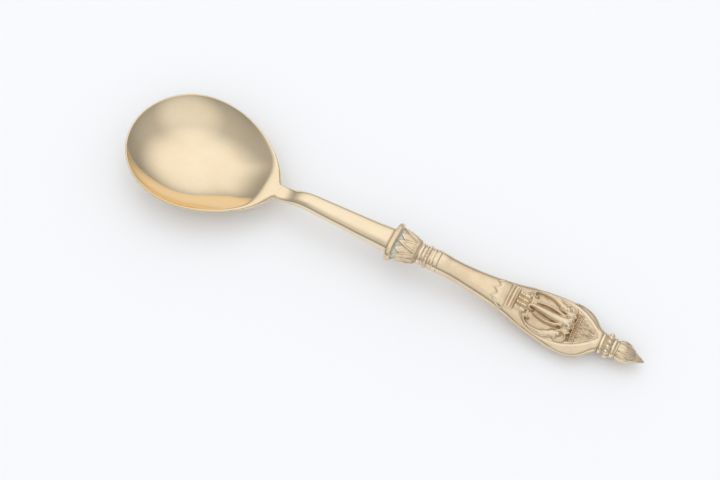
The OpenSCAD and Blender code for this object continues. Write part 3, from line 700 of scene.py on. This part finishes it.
def elephant_height(x, y):
    """Height of the three-headed elephant over its sunken ground, in mm."""
    H = np.zeros(np.shape(x))
    # ground with faint radiating strokes towards the point of the niche
    ang = np.arctan2(y, x - 70.0)
    rad = np.hypot(y, x - 70.0)
    rays = 0.5 + 0.5 * np.cos(ang * 22 + 0.8 * np.sin(rad * 1.3))
    up = smooth01((x - 73.5) / 1.5)
    H += 0.16 * rays * up * smooth01((rad - 3.0) / 2.0)
    H += 0.10 * (0.5 + 0.5 * np.cos(rad * 4.4)) * up

    # flame-like foliage filling the point of the niche behind the crowns
    for row, (cx_, count, size) in enumerate(((75.9, 7, 1.0), (77.5, 6, 0.9), (79.1, 4, 0.8), (80.5, 3, 0.65))):
        for k in range(count):
            yk = (k - (count - 1) / 2) * (1.32 - 0.06 * row)
            lean = yk * 0.22
            H = smax(H, seg_blob(x, y, [(cx_ - 0.5, yk, 0.52 * size, 0.62), (cx_ + 0.5 * size, yk - lean * 0.35, 0.36 * size, 0.58),
                                        (cx_ + 1.3 * size, yk - lean, 0.12, 0.30)])[0], 0.22)
    H = smax(H, seg_blob(x, y, [(80.4, 0, 0.6, 0.7), (82.2, 0, 0.2, 0.35)])[0], 0.2)

    # side heads first, the middle head over them
    for s in (-1, 1):
        H = smax(H, dome(x, y, 68.6, s * 5.3, 2.5, 1.75, 1.55, -s * 14, 0.55), 0.3)
        H = smax(H, dome(x, y, 70.0, s * 5.0, 1.5, 1.3, 1.85, 0, 0.6), 0.3)
        trunk = spline([(68.0, s * 5.7, 1.35, 1.45), (66.2, s * 6.3, 1.2, 1.4), (64.0, s * 7.0, 1.02, 1.3),
                        (61.6, s * 7.2, 0.88, 1.2), (59.4, s * 6.9, 0.74, 1.15), (57.9, s * 6.2, 0.63, 1.1),
                        (57.2, s * 5.2, 0.55, 1.05), (57.7, s * 4.35, 0.48, 1.0), (58.6, s * 4.35, 0.42, 0.9)])
        t, along = seg_blob(x, y, trunk)
        t = t - 0.02 * (t > 0.3) * (0.5 + 0.5 * np.cos(along * 2 * math.pi / 0.85))
        H = smax(H, t, 0.22)
        tusk = spline([(67.0, s * 6.7, 0.6, 1.3), (65.2, s * 7.5, 0.5, 1.2), (63.4, s * 8.0, 0.36, 1.0),
                       (62.2, s * 8.15, 0.2, 0.7)])
        H = smax(H, seg_blob(x, y, tusk)[0], 0.12)
        ear = spline([(69.2, s * 3.7, 0.4, 1.5), (70.8, s * 3.6, 0.45, 1.6), (72.3, s * 4.3, 0.48, 1.55),
                      (72.8, s * 5.5, 0.48, 1.35), (71.9, s * 6.6, 0.45, 1.2), (70.4, s * 7.1, 0.4, 1.1),
                      (69.2, s * 6.9, 0.3, 0.9)])
        H = smax(H, dome(x, y, 71.0, s * 5.5, 1.7, 1.5, 0.95, 0, 0.3), 0.15)
        H = smax(H, seg_blob(x, y, ear)[0], 0.15)
        H = smax(H, dome(x, y, 68.0, s * 4.55, 0.36, 0.30, 1.85, 0, 0.5), 0.12)     # eye
        H -= 0.22 * np.exp(-(((x - 68.0) / 0.62) ** 2 + ((y - s * 4.55) / 0.55) ** 2) ** 2
                           ) * (np.hypot((x - 68.0) / 0.4, (y - s * 4.55) / 0.34) > 1)
    # middle head: ears spread behind, two brow domes, long trunk, tusks
    yc = 0.25
    for s in (-1, 1):
        H = smax(H, dome(x, y, 71.6, yc + s * 2.75, 2.0, 1.5, 1.45, s * 18, 0.35), 0.2)
        H = smax(H, seg_blob(x, y, spline([(69.9, yc + s * 3.3, 0.32, 1.55), (71.2, yc + s * 4.0, 0.36, 1.6),
                                           (72.7, yc + s * 3.9, 0.36, 1.6), (73.5, yc + s * 3.0, 0.32, 1.6)]))[0], 0.12)
    H = smax(H, dome(x, y, 71.2, yc, 2.9, 2.35, 2.15, 0, 0.45), 0.3)
    for s in (-1, 1):
        H = smax(H, dome(x, y, 72.2, yc + s * 1.15, 1.55, 1.25, 2.5, 0, 0.55), 0.25)
    trunk = spline([(71.0, yc, 2.1, 2.2), (69.0, yc, 1.85, 2.15), (67.0, yc + 0.02, 1.68, 2.05),
                    (65.0, yc + 0.1, 1.52, 1.95), (63.0, yc + 0.2, 1.36, 1.85), (61.0, yc + 0.25, 1.16, 1.75),
                    (59.4, yc + 0.3, 0.98, 1.68), (58.1, yc + 0.15, 0.82, 1.6), (57.3, yc - 0.45, 0.66, 1.5),
                    (57.5, yc - 1.2, 0.54, 1.4), (58.3, yc - 1.5, 0.46, 1.3), (59.0, yc - 1.25, 0.36, 1.1)])
    t, along = seg_blob(x, y, trunk)
    wr = 0.5 + 0.5 * np.cos(along * 2 * math.pi / 0.95)
    t = t - 0.022 * (t > 0.3) * wr * smooth01((along - 2.0) / 2.0)
    H = smax(H, t, 0.22)
    for s in (-1, 1):
        tusk = spline([(69.6, yc + s * 1.75, 0.66, 1.75), (67.6, yc + s * 2.45, 0.62, 1.6),
                       (65.2, yc + s * 2.85, 0.55, 1.45), (62.8, yc + s * 2.85, 0.46, 1.3),
                       (60.6, yc + s * 2.5, 0.34, 1.1), (59.3, yc + s * 2.15, 0.2, 0.8)])
        H = smax(H, seg_blob(x, y, tusk)[0], 0.14)
        # eye, with its lid
        ex, ey = 70.0, yc + s * 1.75
        H -= 0.20 * np.exp(-(((x - ex) / 0.60) ** 2 + ((y - ey) / 0.50) ** 2) ** 2)
        H = smax(H, dome(x, y, ex, ey, 0.36, 0.30, 2.0, 0, 0.5), 0.1)
        # cheek straps
        H = smax(H, seg_blob(x, y, [(73.2, yc + s * 2.0, 0.22, 2.2), (71.0, yc + s * 2.45, 0.22, 2.0),
                                    (69.0, yc + s * 2.2, 0.2, 1.9)])[0], 0.1)
    # diamond jewel on the brow
    H = smax(H, dome(x, y, 73.2, yc, 0.7, 0.5, 2.7, 0, 0.6), 0.12)
    # beaded head band between two fillets, curved round the heads
    for cx, hh, wd in ((73.95, 1.5, 0.2), (75.25, 1.1, 0.2)):
        w = np.abs(x - cx - 0.012 * y * y) / wd
        t = np.where(w < 1, hh * np.sqrt(np.maximum(1 - w * w, 0)), -1)
        H = smax(H, np.where(np.abs(y) < 5.6 - (cx - 73.95) * 0.3, t, -1), 0.1)
    for k in np.arange(-5.1, 5.11, 0.85):
        H = smax(H, dome(x, y, 74.6 + 0.012 * k * k, k, 0.40, 0.38, 1.55, 0, 0.5), 0.12)
    return H


def pedestal_height(x, y):
    """Height of the pedestal over the grip's skin, in mm, before its outline is cut."""
    H = np.full(np.shape(x), 0.0)
    # swelling skirt with a rim along its wavy edge
    d = poly_distance(x, y, SKIRT_LOOP)
    skirt = 0.30 + 0.22 * np.sin(np.clip((x - 44.0) / 5.2, 0, 1) * math.pi)
    H = np.where(x < 49.3, skirt, H)
    bead = np.exp(-((d - 0.32) / 0.17) ** 2) * (x < 48.3)
    H = H + 0.08 * bead
    H = H - 0.07 * np.exp(-((d - 0.7) / 0.16) ** 2) * (x < 48.3)
    # three mouldings
    sec = x > 49.25
    base = np.where(sec, 0.12, H)
    m1 = 0.95 * np.sqrt(np.maximum(1 - ((x - 49.95) / 0.48) ** 2, 0))
    m2 = 0.80 * np.sqrt(np.maximum(1 - ((x - 51.15) / 0.60) ** 2, 0)) - 0.16 * np.exp(-((x - 51.15) / 0.12) ** 2)
    m3 = 0.70 * np.sqrt(np.maximum(1 - ((x - 52.2) / 0.36) ** 2, 0)) * (0.84 + 0.16 * np.cos(y * 2 * math.pi / 0.62))
    H = np.where(sec, np.maximum.reduce([base, m1, m2, m3]), base)
    # feet and columns behind the mouldings
    feet = x > 52.5
    low = np.where(feet, -0.14, H)
    H = np.where(feet, low, H)
    for s in (-1, 1):
        for yc, w in ((s * 0.88, 0.74), (s * 2.75, 0.9)):
            leg = smooth01((w - np.abs(y - yc)) / 0.42) * smooth01((57.3 - x) / 0.9) * smooth01((x - 52.65) / 0.25)
            top = 0.62 + 0.18 * np.cos((y - yc) / w * 1.3) - 0.12 * (x - 53.0) / 4.0
            H = np.where(feet, np.maximum(H, -0.14 + (top * 0.85 + 0.14) * leg), H)
            H = H - 0.10 * np.exp(-((x - 54.75) / 0.2) ** 2) * leg * feet
            for k in (-0.5, 0.0, 0.5):
                H = H + feet * 0.12 * np.exp(-(((x - 53.3) / 0.38) ** 2 + ((y - yc - k * w) / 0.2) ** 2))
    return H


def patch(name, node, x1, x2, step, nv, vmax, height, loop, sunk, drop, seed, worn=0.14, back_dirt=0.0,
          basin=0.4):
    """A relief casting: a height field over the grip with a flat underside."""
    xs = np.arange(x1, x2 + step / 2, step)
    vs = np.linspace(-vmax, vmax, nv)
    x = np.repeat(xs[:, None], nv, 1)
    hw = lin(GT, xs, 2)[:, None]
    y = vs[None, :] * hw
    skin = face_z(x, y)
    H = height(x, y)
    # years of handling have rounded the casting off
    wide = vmax * 2 * float(hw.mean()) / nv
    H = 0.25 * H + 0.75 * blur1(blur1(H, worn / step, 0), worn / wide, 1)
    H = H + 0.03 * fbm(x + 60, y + 60, 1.3, seed, 3)
    d = poly_distance(x, y, loop)
    inside = smooth01((d + 0.02) / 0.32)
    # level with the grip where the sides fall away
    level = smooth01((0.985 - np.abs(y / hw)) / 0.2)
    lift = (H + sunk * smooth01(d / basin)) * level
    z = skin + lift * inside + (1 - inside) * (-drop)
    z = np.maximum(z, floor_z(x) + 0.08)
    hb = blur1(blur1(z - skin, 0.55 / step, 0), 0.55 / (2 * vmax * 9 / nv), 1)
    hb2 = blur1(blur1(z - skin, 0.22 / step, 0), 0.22 / (2 * vmax * 9 / nv), 1)
    rel = z - skin
    cav = np.clip((hb - rel) / 0.55, 0, 1) * 0.55 + np.clip((hb2 - rel) / 0.16, 0, 1) * 0.35
    cav = np.maximum(cav, back_dirt * smooth01((x - 74.5) / 1.5) * (0.35 + 0.3 * noise2(x * 1.0 + 9, y * 1.0 + 9, 0.9, 88)))
    proud = np.clip((rel - hb) / 0.35, 0, 1)
    m, n = x.shape
    top = np.stack([x, y, z], 2)
    bot = top.copy()
    bot[:, :, 2] = np.minimum(floor_z(x) + 0.0, z - 0.02)
    # rim of the grid, once round
    idx = np.arange(m * n).reshape(m, n)
    rim = np.concatenate([idx[0, :-1], idx[:-1, -1], idx[-1, :0:-1], idx[:0:-1, 0]])
    V = np.concatenate([top.reshape(-1, 3), bot.reshape(-1, 3)[rim]])
    k = m * n + np.arange(len(rim))
    i = np.arange(m - 1)[:, None] * n + np.arange(n - 1)[None, :]
    quads = np.stack([i, i + n, i + n + 1, i + 1], -1).reshape(-1, 4)
    wall = np.stack([rim, np.roll(rim, -1), np.roll(k, -1), k], -1)
    V = np.concatenate([V, [[(x1 + x2) / 2, 0, float(floor_z((x1 + x2) / 2))]]])
    under = fan(k, len(V) - 1, flip=False)
    pad = lambda q: np.concatenate([q.ravel(), np.zeros(len(V) - m * n)])
    return build(name, V, [quads, wall, under],
                 {"cavity": pad(np.clip(cav, 0, 1)), "proud": pad(proud), "residue": pad(cav * 0),
                  "inside": np.zeros(len(V))}, [node])


def make_grip():
    xs = np.concatenate([np.arange(X_GRIP, 43.0, 0.4), np.arange(43.0, 83.4, 0.2), np.arange(83.4, X_FIN, 0.12), [X_FIN]])
    P = tube(GT, xs, 58)
    N = grid_normals(P)
    u, per = ring_arc(P)
    x, y = P[:, :, 0].copy(), P[:, :, 1].copy()
    disp = 0.045 * fbm(x + 500, u * 30 + 80, 6.0, 41, 3) * smooth01((x - X_GRIP) / 3) * smooth01((X_FIN - x) / 2)
    P += N * disp[:, :, None]
    up = (u > 0.02) & (u < 0.48)
    da = poly_distance(x, y, ARCH_LOOP)
    ds = poly_distance(x, y, SKIRT_LOOP)
    seat = np.maximum(smooth01((da - 0.15) / 0.3), smooth01((ds - 0.3) / 0.35))
    deep_z = floor_z(x) + 0.0
    target = np.minimum(P[:, :, 2], deep_z)
    P[:, :, 2] = np.where(up, P[:, :, 2] * (1 - seat) + target * seat, P[:, :, 2])
    # soft raised lip round the niche
    lip = 0.16 * np.exp(-((da + 0.75) / 0.55) ** 2) * up * smooth01((x - 56) / 4) * smooth01((82.5 - x) / 2)
    P[:, :, 2] += lip
    P[:, :, 2] = np.maximum(P[:, :, 2], 0.0)
    cav = np.exp(-((da + 0.02) / 0.30) ** 2) * up * 0.35
    cav = np.maximum(cav, np.exp(-((ds + 0.10) / 0.26) ** 2) * up * 0.35 * (x < 57))
    cav = np.maximum(cav, 0.7 * smooth01((x - (X_FIN - 0.9)) / 0.9))
    cav = np.maximum(cav, 0.35 * smooth01(((X_GRIP + 0.35) - x) / 0.35))
    edge = smooth01((0.22 - np.minimum(np.abs(u - 0.5), np.minimum(u, 1 - u)) * 2) / 0.22)
    V, F = capped(P)
    pad = lambda q: np.concatenate([q.ravel(), [0, 0]])
    return build("grip_casting", V, F, {"cavity": pad(cav), "proud": pad(edge * 0), "residue": pad(cav * 0),
                                        "inside": np.zeros(len(V))}, ["grip"])


# ----------------------------------------------------------------- bud
BUD = [
    [X_BUD, FIN_Z, 3.25, 2.35, 2.35, 2.2],
    [X_BUD + 0.5, FIN_Z - 0.02, 3.5, 2.5, 2.5, 2.2],
    [X_BUD + 1.2, FIN_Z - 0.06, 3.68, 2.75, 2.75, 2.2],
    [X_BUD + 2.4, FIN_Z - 0.12, 3.8, 2.9, 2.9, 2.1],
    [X_BUD + 4.0, FIN_Z - 0.24, 3.35, 2.7, 2.7, 2.05],
    [X_BUD + 6.0, FIN_Z - 0.4, 2.55, 2.15, 2.15, 2],
    [X_BUD + 8.0, FIN_Z - 0.56, 1.5, 1.36, 1.36, 2],
    [X_BUD + 9.3, FIN_Z - 0.65, 0.62, 0.58, 0.58, 2],
    [X_BUD + 9.75, FIN_Z - 0.68, 0.36, 0.34, 0.34, 2],
    [X_END, FIN_Z - 0.7, 0.12, 0.12, 0.12, 2]]


def make_bud():
    T = smooth_table(BUD, 0.02, 0.14)
    xs = np.arange(X_BUD, X_END + 0.001, 0.06)
    xs[-1] = X_END
    P = tube(T, xs, 64)
    N = grid_normals(P)
    u, per = ring_arc(P)
    x = P[:, :, 0]
    a = (u - 0.25) % 1.0

    def row(count, shift, x1, x2, spread, lift, tip):
        w = (a * count + shift + 0.5) % 1.0 - 0.5
        v = (x - x1) / (x2 - x1)
        vc = np.clip(v, 0, 1)
        hw = spread * (1 - vc ** tip) ** 0.75
        d = (hw - np.abs(w)) * per[:, None] / count
        on = smooth01(d / 0.16) * (v > 0) * (v < 1)
        belly = np.clip(1 - (w / np.maximum(hw, 1e-3)) ** 2, 0, 1)
        crease = -0.10 * np.exp(-((w * per[:, None] / count) / 0.14) ** 2)
        return on, lift * (0.45 + 0.55 * belly) + crease * (v > 0.1), d

    h = np.zeros_like(x)
    on2, h2, d2 = row(6, 0.5, X_BUD + 1.3, X_BUD + 6.8, 0.47, 0.16, 1.8)
    h = h * (1 - on2) + h2 * on2
    on1, h1, d1 = row(6, 0.0, X_BUD + 0.35, X_BUD + 4.4, 0.49, 0.30, 2.0)
    h = h * (1 - on1) + h1 * on1
    # spire: flat faces meeting in ridges
    sp = smooth01((x - (X_BUD + 5.4)) / 1.6)
    f = (a * 4 + 0.30) % 1.0 - 0.5
    r0 = per[:, None] / (2 * math.pi)
    face = r0 * (np.cos(math.pi / 4) / np.cos(np.clip(f, -0.5, 0.5) * math.pi / 2) - 1) * 1.0
    ridge = 0.06
    h += sp * (face * 0.75 + ridge)
    h += 0.03 * fbm(x * 1.0, u * 22, 1.4, 51, 3)
    h *= smooth01((x - X_BUD) / 0.2)
    P = P + N * h[:, :, None]
    P[:, :, 0] = np.minimum(P[:, :, 0], X_END)
    hb = blur1(blur1(h, 6, 0), 6, 1, wrap=True)
    cav = np.clip((hb - h) / 0.13, 0, 1)
    proud = np.clip((h - hb) / 0.16, 0, 1)
    res = smooth01((cav - 0.55) / 0.3) * (noise2(x * 3, u * 60, 1.7, 77) > 0.35) * smooth01((X_BUD + 7 - x) / 2)
    body = capped(P)
    peg = rod(X_BUD - 10.4, X_BUD + 0.3, 1.2, FIN_Z, 36)
    V, F = stack([body, peg])
    pad = lambda q: np.concatenate([q.ravel(), np.zeros(len(V) - q.size)])
    return build("bud_finial_casting", V, F, {"cavity": pad(cav), "proud": pad(proud), "residue": pad(res),
                                              "inside": np.zeros(len(V))}, ["bud_finial"])


# ---------------------------------------------------------------- materials
def brass(name, gold, shade, rough, dirt, residue, scratch, grain, mottled):
    m = bpy.data.materials.new(name)
    m.use_nodes = True
    nt = m.node_tree
    nt.nodes.clear()
    N, L = nt.nodes, nt.links

    def node(kind, x=0, y=0, **kw):
        n = N.new(kind)
        n.location = (x, y)
        for k, v in kw.items():
            setattr(n, k, v)
        return n

    out = node("ShaderNodeOutputMaterial", 1400, 0)
    bsdf = node("ShaderNodeBsdfPrincipled", 1100, 0)
    L.new(bsdf.outputs[0], out.inputs[0])
    tc = node("ShaderNodeTexCoord", -1400, 0)

    def mapped(scale, rot=(0, 0, 0), y=0):
        mp = node("ShaderNodeMapping", -1200, y)
        mp.inputs["Scale"].default_value = scale
        mp.inputs["Rotation"].default_value = rot
        L.new(tc.outputs["Object"], mp.inputs[0])
        return mp.outputs[0]

    def tex(vec, scale, detail=4, rough_=0.6, y=0):
        t = node("ShaderNodeTexNoise", -950, y)
        t.inputs["Scale"].default_value = scale
        t.inputs["Detail"].default_value = detail
        t.inputs["Roughness"].default_value = rough_
        L.new(vec, t.inputs["Vector"])
        return t.outputs["Fac"]

    def remap(v, a, b, c, d, y=0):
        r = node("ShaderNodeMapRange", -700, y)
        r.clamp = True
        for key, val in zip(("From Min", "From Max", "To Min", "To Max"), (a, b, c, d)):
            r.inputs[key].default_value = val
        L.new(v, r.inputs["Value"])
        return r.outputs["Result"]

    def maths(op, a, b=None, y=0, clamp=False):
        n = node("ShaderNodeMath", -450, y, operation=op, use_clamp=clamp)
        for i, v in enumerate((a, b)):
            if v is None:
                continue
            if isinstance(v, (int, float)):
                n.inputs[i].default_value = v
            else:
                L.new(v, n.inputs[i])
        return n.outputs[0]

    def mix(fac, a, b, y=0):
        n = node("ShaderNodeMix", -200, y, data_type="RGBA")
        n.clamp_factor = True
        for sock, v in ((0, fac), (6, a), (7, b)):
            if isinstance(v, (int, float)):
                n.inputs[sock].default_value = v
            elif isinstance(v, tuple):
                n.inputs[sock].default_value = (*v, 1.0)
            else:
                L.new(v, n.inputs[sock])
        return n.outputs[2]

    def attr(key, y=0):
        a = node("ShaderNodeAttribute", -1400, y)
        a.attribute_name = key
        return a.outputs["Fac"]

    obj = mapped((1, 1, 1))
    cav, proud, resd = attr("cavity", -300), attr("proud", -450), attr("residue", -600)
    broad = tex(obj, 55, 3, 0.55, 300)
    fine = tex(obj, 420, 5, 0.65, 120)
    speck = tex(obj, 1500, 3, 0.7, -60)
    # slow colour drift of the alloy, brown tarnish in patches, dirt in hollows
    col = mix(remap(broad, 0.35, 0.68, 0, 1, 300), gold, shade, 200)
    tarn = maths("MULTIPLY", remap(fine, 0.5, 0.75, 0, 1, 100), mottled)
    col = mix(tarn, col, (shade[0] * 0.55, shade[1] * 0.48, shade[2] * 0.42), 0)
    hollow = maths("MULTIPLY", cav, remap(fine, 0.25, 0.6, 0.55, 1.25, -100), 0, True)
    hollow = maths("MULTIPLY", hollow, dirt, -80, True)
    col = mix(hollow, col, (0.20, 0.145, 0.085), -150)
    col = mix(maths("MULTIPLY", proud, 0.55), col, (min(1, gold[0] * 1.12), min(1, gold[1] * 1.13), min(1, gold[2] * 1.2)), -300)
    if residue:
        rmask = maths("MULTIPLY", resd, remap(speck, 0.33, 0.55, 0.25, 1.0, -400), -420, True)
        rmask = maths("MULTIPLY", rmask, residue, -440, True)
        col = mix(rmask, col, (0.60, 0.63, 0.57), -450)
    L.new(col, bsdf.inputs["Base Color"])
    r = remap(fine, 0.3, 0.75, rough * 0.75, rough * 1.5, -650)
    r = maths("ADD", r, maths("MULTIPLY", hollow, 0.45, -700), -720, True)
    if residue:
        r = maths("ADD", r, maths("MULTIPLY", rmask, 0.5, -760), -780, True)
    L.new(r, bsdf.inputs["Roughness"])
    met = maths("SUBTRACT", 1.0, maths("MULTIPLY", hollow, 0.55, -820), -840, True)
    if residue:
        met = maths("SUBTRACT", met, maths("MULTIPLY", rmask, 0.9, -860), -880, True)
    L.new(met, bsdf.inputs["Metallic"])
    bsdf.inputs["Specular IOR Level"].default_value = 0.5
    # bump: casting grain, then hair scratches along and across
    hgt = maths("MULTIPLY", fine, grain, -950)
    hgt = maths("ADD", hgt, maths("MULTIPLY", speck, grain * 0.35, -980), -1000)
    if scratch:
        s1 = tex(mapped((30, 900, 300), (0, 0, 0.12), -1100), 1.0, 2, 0.5, -1100)
        s2 = tex(mapped((600, 60, 300), (0, 0, 0.5), -1250), 1.0, 2, 0.5, -1250)
        lines = maths("ADD", remap(s1, 0.66, 0.72, 0, 1, -1100), remap(s2, 0.68, 0.73, 0, 1, -1250), -1200)
        hgt = maths("SUBTRACT", hgt, maths("MULTIPLY", lines, scratch, -1230), -1260)
    bump = node("ShaderNodeBump", 800, -400)
    bump.inputs["Strength"].default_value = 0.35
    bump.inputs["Distance"].default_value = 0.0002
    L.new(hgt, bump.inputs["Height"])
    L.new(bump.outputs[0], bsdf.inputs["Normal"])
    return m


POLISHED = brass("polished brass", (0.90, 0.77, 0.57), (0.87, 0.72, 0.50), 0.05, 0.8, 0, 0.08, 0.015, 0.05)
SATIN = brass("satin brass", (0.90, 0.76, 0.56), (0.80, 0.64, 0.44), 0.115, 0.6, 0, 0.2, 0.25, 0.18)
AGED = brass("aged brass", (0.87, 0.73, 0.53), (0.72, 0.56, 0.38), 0.20, 0.65, 1.0, 0.15, 0.4, 0.30)


def dress(ob, mat):
    ob.data.materials.clear()
    ob.data.materials.append(mat)


# ------------------------------------------------------------------- pieces
dress(make_bowl(), POLISHED)
dress(make_shank(), POLISHED)
dress(make_capital(), AGED)
dress(ring_piece("neck_collar_rings", "neck_collar", NECK, X_RING, CZ, 2.3, True, X_RING + 3.4, 18, 0.55, 0, 0,
                 bead_up=0.9, worn=0.17), SATIN)
dress(make_grip(), SATIN)
dress(patch("pedestal_casting", "pedestal", 43.2, 58.0, 0.10, 150, 0.955, pedestal_height, SKIRT_LOOP, 0.0,
            0.25, 61, 0.10), SATIN)
dress(patch("elephant_casting", "elephant_relief", 54.8, 83.3, 0.10, 190, 0.90, elephant_height, ARCH_LOOP, -0.55,
            0.30, 71, 0.16, 0.8, 2.0), AGED)
dress(ring_piece("finial_collar_rings", "finial_collar", FINRING, X_FIN, FIN_Z, 2.2, True, X_FIN + 3.05, 12, 0.92, 0, 0,
                 bead_up=1.15, worn=0.11), SATIN)
dress(make_bud(), AGED)


# ---------------------------------------------------------- floor and light
def plain(name, colour, rough=0.6):
    m = bpy.data.materials.new(name)
    m.use_nodes = True
    b = m.node_tree.nodes["Principled BSDF"]
    b.inputs["Base Color"].default_value = (*colour, 1)
    b.inputs["Roughness"].default_value = rough
    return m


floor = bpy.data.meshes.new("table_top")
floor.from_pydata([(-3, -3, -0.0001), (3, -3, -0.0001), (3, 3, -0.0001), (-3, 3, -0.0001)], [], [(0, 1, 2, 3)])
floor_ob = bpy.data.objects.new("table_top", floor)
bpy.context.scene.collection.objects.link(floor_ob)
floor.materials.append(plain("pale table", (0.86, 0.865, 0.875), 0.55))


def area(name, loc, aim, size, power, colour=(1, 1, 1)):
    l = bpy.data.lights.new(name, "AREA")
    l.shape = "RECTANGLE"
    l.size, l.size_y = size
    l.energy = power
    l.color = colour
    ob = bpy.data.objects.new(name, l)
    ob.location = loc
    ob.rotation_euler = (Vector(aim) - Vector(loc)).to_track_quat("-Z", "Y").to_euler()
    bpy.context.scene.collection.objects.link(ob)
    return ob


# Plain soft light for the polished metal: a smooth hemisphere round the table,
# seen only in reflections.  It is brightest towards the key and the fill.
NAZ, NEL = 160, 64
_az = np.linspace(0, 2 * math.pi, NAZ, endpoint=False)
_el = np.linspace(math.radians(-4), math.pi / 2 - 0.002, NEL)
E_, A_ = np.meshgrid(_el, _az, indexing="ij")
DIR = np.stack([np.cos(E_) * np.cos(A_), np.cos(E_) * np.sin(A_), np.sin(E_)], 2)


def glow(towards, wide, soft):
    """A round soft light; wide is its half angle in degrees."""
    v = np.array(towards) / np.linalg.norm(towards)
    return smooth01((DIR @ v - math.cos(math.radians(wide))) / soft)


LEVEL = (0.34 + 0.24 * smooth01(DIR[:, :, 2] / 0.9) + 0.50 * glow((-0.35, 0.6, 1.0), 58, 0.40)
         + 0.30 * glow((0.5, -0.7, 1.1), 46, 0.30))
SKY = LEVEL[:, :, None] * np.array([1.0, 0.985, 0.96])


def light_dome():
    """The soft hemisphere as a mesh."""
    me = bpy.data.meshes.new("light_dome")
    pts = DIR * 0.9 + np.array([-0.06, 0.0, 0.0])
    pts[:, :, 2] = np.maximum(pts[:, :, 2], -0.09)
    q = loop_faces(NEL, NAZ)
    me.from_pydata(pts.reshape(-1, 3).tolist(), [], q.tolist())
    c = me.attributes.new("light", "FLOAT_COLOR", "POINT")
    rgba = np.concatenate([SKY.reshape(-1, 3), np.ones((NAZ * NEL, 1))], 1)
    c.data.foreach_set("color", rgba.astype(np.float32).ravel())
    ob = bpy.data.objects.new("light_dome", me)
    bpy.context.scene.collection.objects.link(ob)
    m = bpy.data.materials.new("soft light")
    m.use_nodes = True
    nt = m.node_tree
    nt.nodes.clear()
    o = nt.nodes.new("ShaderNodeOutputMaterial")
    g = nt.nodes.new("ShaderNodeEmission")
    at = nt.nodes.new("ShaderNodeAttribute")
    at.attribute_name = "light"
    nt.links.new(at.outputs["Color"], g.inputs[0])
    g.inputs[1].default_value = 1.0
    nt.links.new(g.outputs[0], o.inputs[0])
    me.materials.append(m)
    ob.visible_camera = False
    ob.visible_diffuse = False
    ob.visible_shadow = False


light_dome()
for lamp in (area("key", (-0.35, 0.6, 1.0), (0, 0, 0), (1.0, 0.8), 0.9, (1, 0.99, 0.97)),
             area("fill", (0.5, -0.7, 1.1), (0, 0, 0), (0.9, 0.9), 0.6)):
    lamp.visible_glossy = False

world = bpy.data.worlds.new("studio")
bpy.context.scene.world = world
world.use_nodes = True
bg = world.node_tree.nodes["Background"]
bg.inputs[0].default_value = (0.965, 0.978, 1.0, 1)
bg.inputs[1].default_value = 1.04

# ------------------------------------------------------------------- camera
AZ, EL, DIST, TX, TY, TZ = 27.11, 62.0, 0.4931, -0.00631, -0.00294, 0.0057
a, e = math.radians(AZ), math.radians(EL)
back = Vector((math.sin(a) * math.cos(e), -math.cos(a) * math.cos(e), math.sin(e)))
cam = bpy.data.cameras.new("camera")
cam.lens = 70
cam.sensor_width = 36
cam.clip_start = 0.01
cam_ob = bpy.data.objects.new("camera", cam)
cam_ob.location = Vector((TX, TY, TZ)) + back * DIST
cam_ob.rotation_euler = (-back).to_track_quat("-Z", "Y").to_euler()
bpy.context.scene.collection.objects.link(cam_ob)
bpy.context.scene.camera = cam_ob
bpy.context.scene.view_settings.view_transform = "Standard"
